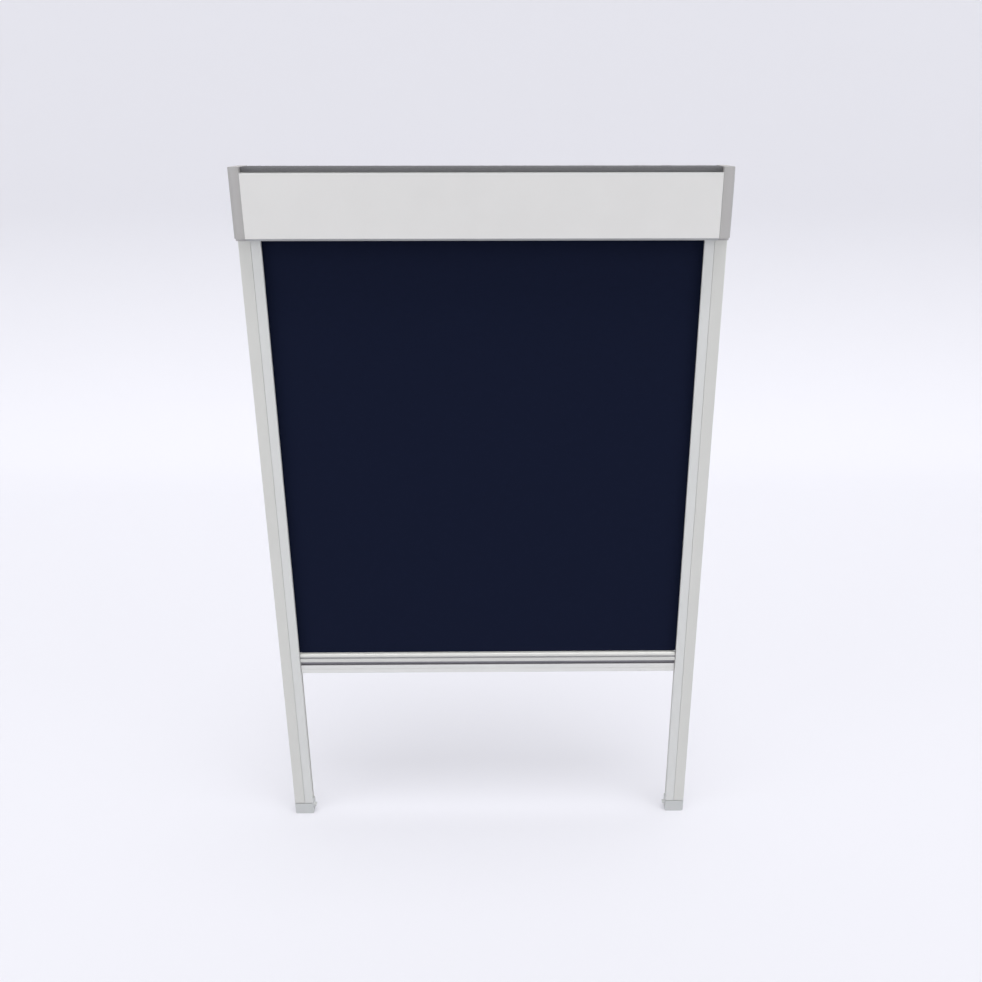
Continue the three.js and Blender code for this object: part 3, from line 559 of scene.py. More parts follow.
def plain_weave_group():
    """The height of a plain weave: a thread's round back, sin(pi * part), times its rise over its neighbours.

    With u and v in threads, the warp rises as level + swing * cos(pi (v + whole u)) and the weft as
    level - swing * cos(pi (u + whole v)), and the higher thread shows.
    """
    group, entry = new_group("Plain weave", Threads=CLOTH_THREADS)
    place = place_node(group, "ShaderNodeSeparateXYZ", {0: object_place(group)}).outputs
    u, v = (calculate(group, "MULTIPLY", place[axis], entry["Threads"]) for axis in "XZ")
    heights = []
    for across, run, swing in ((u, v, WEAVE_SWING), (v, u, -WEAVE_SWING)):
        part = calculate(group, "MULTIPLY", calculate(group, "FRACT", across), math.pi)
        phase = calculate(group, "ADD", run, calculate(group, "FLOOR", across))
        rise = calculate(group, "COSINE", calculate(group, "MULTIPLY", phase, math.pi))
        level = calculate(group, "ADD", calculate(group, "MULTIPLY", rise, swing), WEAVE_LEVEL)
        heights.append(calculate(group, "MULTIPLY", calculate(group, "SINE", part), level))
    slub = noise(group, stretched_place(group, SLUBS_ALONG_X), scale=1.0, detail=2.0)
    return put_out(group, Height=calculate(group, "MAXIMUM", *heights), Slub=slub)


def settled_dust_group():
    """Dust on what faces up: the normal's rise, sharpened, times a speckle."""
    group, entry = new_group("Settled dust", Amount=0.3)
    normal = place_node(group, "ShaderNodeNewGeometry").outputs["Normal"]
    rise = place_node(group, "ShaderNodeSeparateXYZ", {0: normal}).outputs["Z"]
    speckle = noise(group, object_place(group), scale=DUST_SPECKS, detail=4.0, roughness=0.7)
    cover = calculate(group, "MULTIPLY", map_range(group, rise, DUSTY_RISE), speckle)
    return put_out(group, Dust=calculate(group, "MULTIPLY", cover, entry["Amount"]))


drawn_lines = drawn_lines_group()
moulded_skin = moulded_skin_group()
plain_weave = plain_weave_group()
settled_dust = settled_dust_group()


# Finishes

def linear(code):
    """A colour code such as #D2D3D1 as linear red, green, blue and alpha.

    Each channel c of the code is ((c + 0.055) / 1.055) ** 2.4, or c / 12.92 up to 0.04045.
    """
    channels = np.array([int(code[i:i + 2], 16) for i in (1, 3, 5)]) / 255
    curved = ((channels + 0.055) / 1.055) ** 2.4
    return (*np.where(channels > 0.04045, curved, channels / 12.92), 1.0)


def shade(code, share):
    """The colour of a code, lighter or darker by a share of its linear value."""
    return (*(min(1.0, channel * (1 + share)) for channel in linear(code)[:3]), 1.0)


class Finish:
    """One material under construction: its tree, its Principled shader and the steps that dress it."""

    def __init__(self, name, **values):
        self.material = bpy.data.materials.new(name)
        self.material.use_nodes = True
        self.tree = self.material.node_tree
        self.shader = self.tree.nodes["Principled BSDF"]
        for label, value in values.items():
            self.shader.inputs[label.replace("_", " ")].default_value = value

    def group(self, group, **values):
        """The outputs of a shared group, placed here with its own values."""
        return place_node(self.tree, "ShaderNodeGroup", values, node_tree=group).outputs

    def feed(self, label, socket):
        """Links a socket to an input of the shader."""
        self.tree.links.new(socket, self.shader.inputs[label])

    def between(self, factor, first, second):
        """A colour between two, by a socket from 0 to 1. The node's colours are its inputs 6 and 7."""
        mix = place_node(self.tree, "ShaderNodeMix", {0: factor, 6: first, 7: second}, data_type="RGBA")
        return mix.outputs[2]

    def colour(self, pattern, code, darker, lighter, dust_amount=0.0):
        """The colour of a code, from darker to lighter by a pattern, and dust on it where there is any."""
        shown = self.between(pattern, shade(code, -darker), shade(code, lighter))
        if dust_amount > 0:
            dust = self.group(settled_dust, Amount=dust_amount)["Dust"]
            shown = self.between(dust, shown, linear(DUST_COLOUR))
        self.feed("Base Color", shown)

    def roughness(self, pattern, low, high):
        """Roughness from low to high by a noise."""
        self.feed("Roughness", map_range(self.tree, pattern, NOISE_REACH, low, high))

    def bump(self, height, depth, strength):
        """The height of a pattern in the surface."""
        values = {"Height": height, "Distance": depth, "Strength": strength}
        self.feed("Normal", place_node(self.tree, "ShaderNodeBump", values).outputs["Normal"])


def extruded_finish(name, code, lines=LINES_ALONG_X, metallic=0.15, roughness=0.42, dust_amount=0.35):
    """Pale anodised aluminium: drawn lines in its gloss and height, slow clouds in its colour, and dust."""
    finish = Finish(name, Metallic=metallic)
    drawn = finish.group(drawn_lines, Frequency=lines)
    finish.colour(drawn["Cloud"], code, darker=0.03, lighter=0.03, dust_amount=dust_amount)
    finish.roughness(drawn["Lines"], low=roughness - 0.06, high=roughness + 0.06)
    finish.bump(drawn["Lines"], depth=0.02 * MM, strength=0.6)
    return finish.material


def moulded_finish(name, code, roughness=0.5, grains=PLASTIC_GRAINS):
    """Moulded plastic: an eroded skin in its height, with slow clouds in its colour and gloss."""
    finish = Finish(name)
    skin = finish.group(moulded_skin, Grains=grains)
    finish.colour(skin["Cloud"], code, darker=0.04, lighter=0.04, dust_amount=0.3)
    finish.roughness(skin["Cloud"], low=roughness - 0.05, high=roughness + 0.07)
    finish.bump(skin["Grain"], depth=0.03 * MM, strength=0.5)
    return finish.material


def metal_finish(name, code, roughness):
    """Bright small metal parts: a fine turned grain and a slight cloud."""
    finish = Finish(name, Metallic=1.0)
    skin = finish.group(moulded_skin, Grains=METAL_GRAINS)
    finish.colour(skin["Cloud"], code, darker=0.1, lighter=0.06)
    finish.roughness(skin["Grain"], low=roughness - 0.06, high=roughness + 0.1)
    finish.bump(skin["Grain"], depth=0.01 * MM, strength=0.5)
    return finish.material


def cloth_finish(name, code):
    """Woven cloth: the weave in its height, with painted shade between threads, and some thicker threads."""
    finish = Finish(name, Specular_IOR_Level=0.05)
    weave = finish.group(plain_weave, Threads=CLOTH_THREADS)
    thread = finish.between(weave["Slub"], shade(code, -0.1), shade(code, 0.1))
    # Darker where the weave is low, between the threads: painted shade
    shown = map_range(finish.tree, weave["Height"], NOISE_REACH, low=0.75, high=1.0)
    finish.feed("Base Color", finish.between(shown, (0.0, 0.0, 0.0, 1.0), thread))
    finish.roughness(weave["Slub"], low=0.78, high=0.9)
    finish.bump(weave["Height"], depth=0.06 * MM, strength=0.7)
    return finish.material


def soft_finish(name, code, grains, depth):
    """Foam or felt: a coarse open skin with dark pores, a painted shade where its grain is low."""
    finish = Finish(name, Specular_IOR_Level=0.2, Roughness=0.95)
    grain = finish.group(moulded_skin, Grains=grains)["Grain"]
    # Darker where the grain is low, in the pores: painted shade
    finish.colour(map_range(finish.tree, grain, NOISE_REACH), code, darker=0.35, lighter=0.15)
    finish.bump(grain, depth, strength=0.8)
    return finish.material


finishes = {
    "rail": extruded_finish("rail_aluminium", RAIL_COLOUR, LINES_ALONG_Z),
    "rail_cover": extruded_finish("rail_cover_aluminium", COVER_COLOUR, LINES_ALONG_Z),
    "head": extruded_finish("head_aluminium", RAIL_COLOUR),
    "panel": extruded_finish("panel_aluminium", PANEL_COLOUR, roughness=0.46),
    # Painted shade for the panel's under-lip and top round
    "panel_edge": extruded_finish("panel_edge_painted_shade", PANEL_EDGE_SHADE_COLOUR, roughness=0.5),
    "bar": extruded_finish("bar_aluminium", RAIL_COLOUR, roughness=0.36, dust_amount=0.05),
    # Painted shade for the finger groove and for the flange's ledge under the ridges
    "web": extruded_finish("web_painted_shade", WEB_SHADE_COLOUR, metallic=0.3),
    # Painted shade for the fine groove between the grip ridges
    "groove": extruded_finish("groove_painted_shade", GROOVE_SHADE_COLOUR, metallic=0.3),
    "flange": extruded_finish("flange_aluminium", FLANGE_COLOUR),
    "cap": moulded_finish("cap_plastic", CAP_COLOUR),
    "foot": moulded_finish("foot_plastic", FOOT_COLOUR),
    "white": moulded_finish("white_plastic", WHITE_COLOUR, grains=1100.0),
    "cloth": cloth_finish("navy_cloth", CLOTH_COLOUR),
    "coating": moulded_finish("navy_coating", COATING_COLOUR, roughness=0.62, grains=900.0),
    # The foam's own dark grey, which also paints the shade of the gap above the head box
    "foam": soft_finish("seal_foam_and_gap_shade", SEAL_AND_GAP_SHADE_COLOUR, grains=1300.0, depth=0.25 * MM),
    "felt": soft_finish("brake_felt", FELT_COLOUR, grains=2200.0, depth=0.15 * MM),
    "steel": metal_finish("bright_steel", STEEL_COLOUR, roughness=0.28),
    "spring": metal_finish("spring_wire", SPRING_COLOUR, roughness=0.34),
}

# The finish of every CAD node, by its material slot, before finer pieces take some nodes' places
SLOT_FINISHES = {
    "aluminium": "head", "cover_aluminium": "panel", "grey_plastic": "cap", "pale_grey_plastic": "foot",
    "white_plastic": "white", "dark_foam": "foam", "felt": "felt", "blackout_fabric": "cloth",
    "steel": "steel", "spring_steel": "spring",
}
slots = {part["node"]: part["material_slot"] for part in frame["record"]["subparts"]}
for node, shown in frame["nodes"].items():
    shown.data.materials.clear()
    shown.data.materials.append(finishes[SLOT_FINISHES[slots[node]]])


def fit(piece, body, finish, node):
    """The piece gets its finish, rides on its body and stands for its node."""
    piece.data.materials.clear()
    piece.data.materials.append(finishes[finish])
    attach(piece, body)
    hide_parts(node)


def second_finish(piece, finish, chosen):
    """Gives a second finish to the chosen faces."""
    piece.data.materials.append(finishes[finish])
    piece.data.polygons.foreach_set("material_index", chosen.astype(np.int32))


def finish_between(piece, finish, deep, *bands):
    """Gives a second finish to the faces whose middles lie between two Y and in a band of Z."""
    _, y, z = face_middles(piece)
    in_band = np.any([(z > foot) & (z < top) for foot, top in bands], 0)
    second_finish(piece, finish, (y >= deep[0]) & (y < deep[1]) & in_band)


# Pieces of the head box

def make_head_panel():
    """The head box's front cover: a bent section along X, hooked at its top, with a port at its foot."""
    low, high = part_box("head_front_cover")
    lip, mouth = low.y + UNDER_LIP_SETBACK, high.y
    foot = low.z + UNDER_LIP_DROP
    hook = low.y + TOP_HOOK_SETBACK
    inner, floor = low.y + HEAD_WALL, low.z + HEAD_WALL
    section = rounded_outline([
        (mouth, low.z, LIP_ROUND),
        (mouth, low.z + MOUTH_LIP, WALL_ROUND),
        (mouth - HEAD_WALL, low.z + MOUTH_LIP, WALL_ROUND),
        (mouth - HEAD_WALL, floor),
        (lip + UNDER_LIP_SLANT + HEAD_WALL, floor),
        (lip + HEAD_WALL, foot + HEAD_WALL),
        (inner, foot + HEAD_WALL),
        (inner, high.z - HEAD_WALL),
        (hook - HEAD_WALL, high.z - HEAD_WALL),
        (hook - HEAD_WALL, high.z - TOP_HOOK_DROP),
        (hook, high.z - TOP_HOOK_DROP),
        (hook, high.z, WALL_ROUND),
        (low.y, high.z, PANEL_ROUND),
        (low.y, foot, UNDER_LIP_ROUND),
        (lip, foot),
        (lip + UNDER_LIP_SLANT, low.z, UNDER_LIP_ROUND),
    ])
    run = (low.x, high.x)
    panel = extrusion("head_panel", [section], run)
    port = middle_line("cap_screw_left_lower")
    port_tube = extrusion("port", [ring_points(PORT_RADIUS, port), ring_points(PORT_BORE, port)], run)
    web = rectangle(about(port[0], PORT_WEB), (floor, port[1] - PORT_BORE))
    join_pieces(panel, port_tube, extrusion("web", [web], run))
    fit(panel, "root", "panel", "head_front_cover")
    # The under-lip and the top round get a darker finish, a painted shade
    finish_between(panel, "panel_edge", (low.y, mouth), (low.z - BAND_MARGIN, foot - BAND_MARGIN),
                   (high.z - PANEL_ROUND, high.z + BAND_MARGIN))


def make_top_seal():
    """The foam strip on the head box: a bar with round shoulders whose skin is uneven."""
    low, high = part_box("top_light_seal")
    inset = 2 * SEAL_UNEVENNESS
    corners = rectangle((low.y + inset, high.y - inset), (low.z + inset, high.z - inset))
    shoulders = [(*corner, SEAL_ROUND) for corner in corners[2:]]
    around = even_steps(rounded_outline(corners[:2] + shoulders), SEAL_STEP)
    stations = np.linspace(low.x + inset, high.x - inset, int((high.x - low.x) / SEAL_STEP))
    seal = mesh_object("foam_seal", *closed_tube(around, stations))
    roughen(seal, SEAL_UNEVENNESS, SEAL_SEED)
    # The seal's dark grey also paints the shade of the gap above the head box
    fit(seal, "root", "foam", "top_light_seal")


def make_bracket(name, side):
    """A mounting bracket: a rounded plate with two round holes and two tongues into the end cap."""
    node = f"mounting_bracket_{name}"
    low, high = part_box(node)
    middle = middle_line(node)[0]
    inner, tip = HALF_WIDTH - BRACKET_THICKNESS, min(abs(low.x), abs(high.x))
    tongues = (low.z + BRACKET_TONGUE_ABOVE_FOOT, high.z - BRACKET_TONGUE_BELOW_TOP)
    holes = (tongues[0] + BRACKET_HOLE_FROM_TONGUE, tongues[1] - BRACKET_HOLE_FROM_TONGUE)
    corners = rectangle((low.y, high.y), (low.z, high.z))
    plate = rounded_outline([(*corner, BRACKET_ROUND) for corner in corners])
    rings = [ring_points(WOOD_SCREW_HOLE_RADIUS, (middle, rise)) for rise in holes]
    plate_run = sorted((side * inner, side * HALF_WIDTH))
    bracket = extrusion(f"steel_bracket_{name}", [plate, *rings], plate_run)
    for rise in tongues:
        tongue = rectangle(about(middle, BRACKET_TONGUE_WIDTH), about(rise, BRACKET_TONGUE_HEIGHT))
        join_pieces(bracket, extrusion("tongue", [tongue], sorted((side * tip, side * inner))))
    fit(bracket, "root", "steel", node)


# Pieces of the rails

def across_rail(side, *inwards):
    """The x of places counted inwards from a rail's outer face, in rising order."""
    return sorted(side * (HALF_WIDTH - place) for place in inwards)


def rail_outline(side, corners):
    """A rail's section through corners (inwards, y, radius), counted inwards from the rail's outer face."""
    return rounded_outline([(side * (HALF_WIDTH - inwards), *rest) for inwards, *rest in corners])


def make_rail_body(name, side):
    """A rail's channel: a section carried along Z, with its fixing and screw holes bored along X."""
    node = f"rail_channel_{name}"
    low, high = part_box(node)
    skin, back = low.y + RAIL_WALL, high.y - RAIL_WALL
    divider = skin + 2 * CLEARANCE + TONGUE_WALL
    back_end = high.x - low.x
    flange_end = RAIL_JOINT - CLEARANCE / 2
    section = rail_outline(side, [
        (0, high.y, RAIL_BACK_ROUND),
        (back_end, high.y, WALL_ROUND),
        (back_end, back, WALL_ROUND),
        (RAIL_JOINT, back), (RAIL_JOINT, divider),
        (RAIL_JOINT - RAIL_WALL, divider), (RAIL_JOINT - RAIL_WALL, back),
        (RAIL_WALL, back), (RAIL_WALL, skin),
        (flange_end, skin), (flange_end, low.y, SEAM_ROUND),
        (0, low.y, RAIL_EDGE_ROUND),
    ])
    channel = extrusion(f"rail_body_{name}", [section], (low.z, high.z), along="z")
    outer = across_rail(side, 2 * RAIL_WALL, -RAIL_WALL)
    inner = across_rail(side, RAIL_JOINT + RAIL_WALL, RAIL_JOINT - 2 * RAIL_WALL)
    middle = middle_line(node)[0]
    fixings = [(middle, high.z + share * (low.z - high.z)) for share in FIXING_PLACE_SHARES]
    screws = [middle_line(f"{kind}_screw_{name}") for kind in ("joiner", "foot")]
    bore_through(channel, [
        (fixings, WOOD_SCREW_HOLE_RADIUS, outer),
        (fixings, FIXING_ACCESS_RADIUS, inner),
        (screws, SIDE_SCREW_HOLE_RADIUS, outer),
    ])
    fit(channel, "root", "rail", node)


def make_rail_cover(name, side):
    """The inner strip of a rail: a face with a lip round its inner edge and a tongue under the channel."""
    node = f"rail_cover_{name}"
    low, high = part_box(node)
    start = RAIL_JOINT + CLEARANCE / 2
    skin = low.y + RAIL_WALL
    tongue = skin + CLEARANCE
    section = rail_outline(side, [
        (start, low.y, SEAM_ROUND),
        (RAIL_WIDTH, low.y, COVER_INNER_ROUND),
        (RAIL_WIDTH, high.y, COVER_LIP_ROUND),
        (RAIL_WIDTH - TONGUE_WALL, high.y, COVER_LIP_ROUND),
        (RAIL_WIDTH - TONGUE_WALL, skin), (start + RAIL_WALL, skin),
        (start + RAIL_WALL, tongue + TONGUE_WALL),
        (RAIL_JOINT - TONGUE_REACH, tongue + TONGUE_WALL),
        (RAIL_JOINT - TONGUE_REACH, tongue), (start, tongue),
    ])
    strip = extrusion(f"rail_strip_{name}", [section], (low.z, high.z), along="z")
    fit(strip, "root", "rail_cover", node)


# Pieces of the bar

def make_grip_strip():
    """The strip that a hand pulls: two ridges with a fine groove between, hooked over the web behind it.

    The upper ridge's crown is a quarter circle: (front + crown * (1 - sin t), top - crown * (1 - cos t)). Its
    front stands a little behind the lower ridge's.
    """
    low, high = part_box("bar_grip_strip")
    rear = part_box("bar_front_profile")[0].y - CLEARANCE
    groove_back = low.y + RIDGE_GROOVE_DEPTH
    upper_foot = high.z - UPPER_RIDGE
    lower_top = upper_foot - RIDGE_GROOVE
    rib_foot, rib_top = about(low.z + GRIP_RIB_ABOVE_GROOVE, GRIP_RIB_HEIGHT)
    front = low.y + UPPER_RIDGE_LEAN
    t = np.linspace(0, np.pi / 2, CROWN_POINTS)
    crown_deep = front + UPPER_RIDGE_CROWN * (1 - np.sin(t))
    crown_high = high.z - UPPER_RIDGE_CROWN * (1 - np.cos(t))
    section = rounded_outline([
        (high.y, high.z),
        *zip(crown_deep, crown_high),
        (front, upper_foot, UPPER_RIDGE_FOOT_ROUND),
        (groove_back, upper_foot), (groove_back, lower_top),
        (low.y, lower_top, GROOVE_EDGE_ROUND),
        (low.y, low.z, RIDGE_FOOT_ROUND),
        (rear, low.z),
        (rear, rib_foot), (rear + GRIP_RIB_REACH, rib_foot),
        (rear + GRIP_RIB_REACH, rib_top), (rear, rib_top),
        (rear, high.z - BAR_WALL), (high.y, high.z - BAR_WALL),
    ])
    hollows = [rectangle((deep + BAR_WALL, rear - BAR_WALL), (foot + BAR_WALL, top - BAR_WALL))
               for deep, foot, top in ((low.y, low.z, lower_top), (crown_deep[0], upper_foot, high.z))]
    strip = extrusion("bar_grip", [section, *hollows], (low.x, high.x))
    fit(strip, "bar", "bar", "bar_grip_strip")
    # The fine groove between the ridges gets a darker finish, a painted shade
    groove = (lower_top - GROOVE_EDGE_ROUND, upper_foot + BAND_MARGIN)
    finish_between(strip, "groove", (low.y, rear), groove)


def spline_seat(face):
    """The arc that the spline's seat cuts into a web whose face is at y = face, from its foot to its top.

    Its points are middle + radius * (cos t, sin t), and it meets the face at t = meet and at t = -meet.
    """
    middle = middle_line("fabric_spline")
    meet = math.acos((face - middle[0]) / SEAT_RADIUS)
    first = -meet if face > middle[0] else 2 * math.pi - meet
    return middle + SEAT_RADIUS * unit_circle(np.linspace(first, meet, CURVE_POINTS))


def make_bar_web():
    """The web in front of the fabric, with a slot for the grip strip's rib and a seat for the spline."""
    low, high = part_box("bar_front_profile")
    rib_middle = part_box("bar_grip_strip")[0].z + GRIP_RIB_ABOVE_GROOVE
    slot_foot, slot_top = about(rib_middle, GRIP_RIB_HEIGHT + 2 * CLEARANCE)
    slot_back = low.y + GRIP_RIB_REACH
    outline = rounded_outline([
        (high.y, high.z),
        (low.y, high.z, RIDGE_EDGE_ROUND),
        (low.y, slot_top), (slot_back, slot_top), (slot_back, slot_foot), (low.y, slot_foot),
        (low.y, low.z), (high.y, low.z),
    ])
    section = np.concatenate([outline, spline_seat(high.y)])
    web = extrusion("bar_web", [section], (low.x, high.x))
    # The web's dark grey is painted shade, seen through the finger groove
    fit(web, "bar", "web", "bar_front_profile")


def make_bar_back():
    """The bar's back profile: a web behind the fabric, and a deep light flange with a fine line along it."""
    low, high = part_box("bar_back_profile")
    flange_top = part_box("bar_front_profile")[0].z - CLEARANCE
    web_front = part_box("fabric_sheet")[1].y + CLEARANCE
    web_back = middle_line("fabric_spline")[0] + SEAT_RADIUS + BACK_WEB
    line_foot, line_top = about(flange_top - FLANGE_LINE_BELOW_TOP, FLANGE_LINE_WIDTH)
    outline = rounded_outline([
        (web_front, high.z),
        (high.y, high.z, RIDGE_EDGE_ROUND),
        (high.y, high.z - BACK_BEAD, RIDGE_EDGE_ROUND),
        (web_back, high.z - BACK_BEAD), (web_back, flange_top),
        (high.y, flange_top, RIDGE_EDGE_ROUND),
        (high.y, low.z, FLANGE_ROUND),
        (low.y, low.z, FLANGE_ROUND),
        (low.y, line_foot), (low.y + FLANGE_LINE_DEPTH, line_foot),
        (low.y + FLANGE_LINE_DEPTH, line_top), (low.y, line_top),
        (low.y, flange_top, FLANGE_TOP_ROUND),
        (web_front, flange_top),
    ])
    section = np.concatenate([outline, spline_seat(web_front)])
    hollow = rectangle((low.y + BAR_WALL, high.y - BAR_WALL), (low.z + BAR_WALL, flange_top - BAR_WALL))
    back = extrusion("bar_flange", [section, hollow], (low.x, high.x))
    fit(back, "bar", "flange", "bar_back_profile")
    # The flange's top ledge under the ridges gets the web's dark grey, a painted shade
    painted_shade_ledge = (flange_top - FLANGE_ROUND / 3, flange_top + BAND_MARGIN)
    finish_between(back, "web", (low.y, web_front), painted_shade_ledge)


def make_brake_pad(name):
    """A felt pad with round edges and an uneven face."""
    node = f"brake_pad_{name}"
    low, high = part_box(node)
    corners = rectangle((low.x + PAD_INSET, high.x - PAD_INSET), (low.y + PAD_INSET, high.y - PAD_INSET))
    around = even_steps(rounded_outline([(*corner, PAD_ROUND) for corner in corners]), PAD_ROUND)
    pad = extrusion(f"felt_pad_{name}", [around], np.linspace(low.z, high.z, PAD_RINGS), along="z")
    roughen(pad, PAD_INSET / 2, PAD_SEED)
    fit(pad, "bar", "felt", node)


# The fabric, and what winds it

def make_fabric():
    """The taut fabric: rows of points across its front and back again across its back, each at its height.

    Point c of a row lies at half-width * (2 c / (columns - 1) - 1). Below its shoulders the sheet narrows
    to the tongue that runs into the bar.
    """
    low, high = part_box("fabric_sheet")
    bar_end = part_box("bar_grip_strip")[1]
    shoulder = bar_end.z + SHOULDER_ABOVE_BAR
    drop = np.linspace(high.z, shoulder, FABRIC_ROWS)
    heights = np.concatenate([drop, [shoulder - SHOULDER_STEP, low.z]])
    halves = np.where(heights > shoulder - SHOULDER_STEP / 2, high.x, bar_end.x - BAR_WALL)
    across = np.linspace(-1, 1, FABRIC_COLUMNS)
    x = halves[:, None] * np.concatenate([across, across[::-1]])
    y = np.repeat([low.y, high.y], FABRIC_COLUMNS)
    places = np.stack(np.broadcast_arrays(x, y, heights[:, None]), -1).reshape(-1, 3)
    sheet = mesh_object("blackout_fabric", places, band_faces(*x.shape))
    sheet.data.materials.append(finishes["cloth"])
    second_finish(sheet, "coating", face_middles(sheet)[1] > high.y - BAND_MARGIN)
    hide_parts("fabric_sheet")
    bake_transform(sheet)


def make_roll():
    """The fabric wound on the tube: a band on a spiral whose radius falls by one pitch a turn.

    The band's outer face at angle t has radius outer - pitch * t / (2 pi), and its inner face lies a large
    share of a pitch further in.
    """
    low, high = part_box("fabric_roll")
    outer = (high.z - low.z) / 2
    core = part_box("roller_tube")[1].z + CLEARANCE + ROLL_PITCH
    turns = (outer - core) / ROLL_PITCH
    t = np.linspace(0, 2 * np.pi * turns, int(turns * ROLL_STEPS))
    rim = (outer - ROLL_PITCH * t / (2 * np.pi))[:, None]
    faces_of_band = [unit_circle(t) * rim, (unit_circle(t) * (rim - ROLL_BAND_SHARE * ROLL_PITCH))[::-1]]
    section = middle_line("fabric_roll") + np.concatenate(faces_of_band)
    places = carry_along_x(section, (low.x, high.x))
    roll = mesh_object("wound_fabric", places, band_faces(2, len(section)))
    fit(roll, "roller", "cloth", "fabric_roll")


def make_spring():
    """The roller spring: a round wire carried along a helix about the roller's axis.

    Its middle line at share s is (start + reach * s, radius * cos a, radius * sin a), a = 2 pi * turns * s,
    and the wire's circle stands on the outward direction and the one square to it and to the line.
    """
    low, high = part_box("torsion_spring")
    radius = (high.z - low.z) / 2 - SPRING_WIRE_RADIUS
    reach = high.x - low.x - 2 * SPRING_WIRE_RADIUS
    share = np.linspace(0, 1, SPRING_TURNS * SPRING_STEPS + 1)
    a = 2 * np.pi * SPRING_TURNS * share
    circle = unit_circle(a)
    run = low.x + SPRING_WIRE_RADIUS + reach * share
    line = np.column_stack([run, middle_line("torsion_spring") + radius * circle])
    outward = np.column_stack([0 * a, circle])
    along = np.column_stack([np.full_like(a, reach / a[-1]), radius * circle[:, ::-1] * (-1, 1)])
    beside = np.cross(along / np.linalg.norm(along, axis=1, keepdims=True), outward)
    b = full_turn(WIRE_SIDES)[None, :, None]
    wire = SPRING_WIRE_RADIUS * (np.cos(b) * outward[:, None] + np.sin(b) * beside[:, None])
    places = (line[:, None] + wire).reshape(-1, 3)
    ends = [list(range(WIRE_SIDES)), list(range(len(places) - WIRE_SIDES, len(places)))]
    coil = mesh_object("spring_coil", places, grid_faces(len(share), WIRE_SIDES) + ends)
    fit(coil, "root", "spring", "torsion_spring")


# Screws, and pieces that keep the solid's own shape

def screw_head(face, head, radius, recess):
    """The rings of a screw's head, as runs and radii: a domed face with a crossed recess, a rim and its back.

    The face falls by dome * share squared, and is sunk by recess * inside(arm) * inside(reach), where arm is
    the lesser and reach the greater of a point's distances from the two middle lines of the head. Inside is
    1 well within its limit, 0 well past it, and straight between.
    """
    share = np.linspace(0, 1, FACE_RINGS)[:, None]
    flat = (radius - HEAD_EDGE_ROUND) * share
    distances = np.abs(flat[..., None] * unit_circle(full_turn(HEAD_SIDES)))
    limits = ((distances.min(-1), RECESS_WIDTH / 2), (distances.max(-1), radius * RECESS_REACH_SHARE))
    inside = [np.clip((limit - distance) / RECESS_SLOPE + 0.5, 0, 1) for distance, limit in limits]
    top = face - HEAD_DOME * share ** 2 - recess * inside[0] * inside[1]
    bend = np.linspace(0, np.pi / 2, RIM_POINTS)[1:, None]
    rim = face - HEAD_DOME - HEAD_EDGE_ROUND * (1 - np.cos(bend))
    rim_radii = radius - HEAD_EDGE_ROUND * (1 - np.sin(bend))
    spread = np.ones((1, HEAD_SIDES))
    runs = np.concatenate([top, rim * spread, np.full((2, HEAD_SIDES), face - head)])
    return runs, np.concatenate([flat, rim_radii, [[radius], [0]]]) * spread


def screw_shank(top, tip, shank):
    """The rings of a screw's threaded shank, as runs and radii, closed under its head and at its tip.

    The radius at a turn and a run is shank - ridge / 2 * (1 - cos(turn - 2 pi * run / pitch)).
    """
    count = int((top - tip) / (THREAD_PITCH / THREAD_STEPS))
    run = np.linspace(top + CLEARANCE, tip + 2 * shank, count)[:, None]
    phase = full_turn(SHANK_SIDES) - 2 * np.pi * run / THREAD_PITCH
    thread = shank - THREAD_DEPTH / 2 * (1 - np.cos(phase))
    closed = np.zeros((1, SHANK_SIDES))
    runs = np.concatenate([run[:1], run, [[tip]]]) + closed
    return runs, np.concatenate([closed, thread, closed])


def make_screw(node, head, shank, recess):
    """A turned screw along X, with its head outwards."""
    low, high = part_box(node)
    side = 1 if low.x + high.x > 0 else -1
    tip, face = sorted((abs(low.x), abs(high.x)))
    head_rings = screw_head(face, head, (high.z - low.z) / 2, recess)
    places, faces = [], []
    start = 0
    for runs, radii in (head_rings, screw_shank(face - head, tip, shank)):
        places.append(lathe_points(runs, radii, middle_line(node), side))
        faces += grid_faces(*runs.shape, start=start)
        start += runs.size
    screw = mesh_object(f"turned_{node}", np.concatenate(places), faces)
    fit(screw, "root", "steel", node)


def make_rounded(node, name, edge, body, finish, slot):
    """The node's own shape, with its flat faces joined up and a small round on its edges."""
    mesh = frame["nodes"][node].data.copy()
    mesh.name = name
    clean(mesh, join_flats=True)
    piece = add_object(name, mesh)
    bevel = piece.modifiers.new("Edge round", "BEVEL")
    bevel.width = edge
    bevel.segments = BEVEL_SEGMENTS
    bevel.limit_method = "ANGLE"
    bevel.angle_limit = BEVEL_ABOVE
    fit(keep_flats_flat(piece), body, finish, node)


# Camera, light and surroundings

def make_camera():
    """The photograph's camera: level first, then down, turned and rolled about its own axes."""
    camera_data = bpy.data.cameras.new("photograph_camera")
    camera_data.sensor_width = SENSOR_WIDTH
    camera_data.lens = SENSOR_WIDTH * FOCAL_PIXELS / IMAGE_PIXELS
    camera_data.shift_x = (IMAGE_PIXELS / 2 - CENTRE_PIXEL_X) / IMAGE_PIXELS
    stand = Matrix.Translation(CAMERA_PLACE)
    for axis, degrees in CAMERA_TURNS:
        stand = stand @ Matrix.Rotation(math.radians(degrees), 4, axis)
    camera = add_object("photograph_camera", camera_data)
    camera.matrix_world = stand
    bpy.context.scene.camera = camera


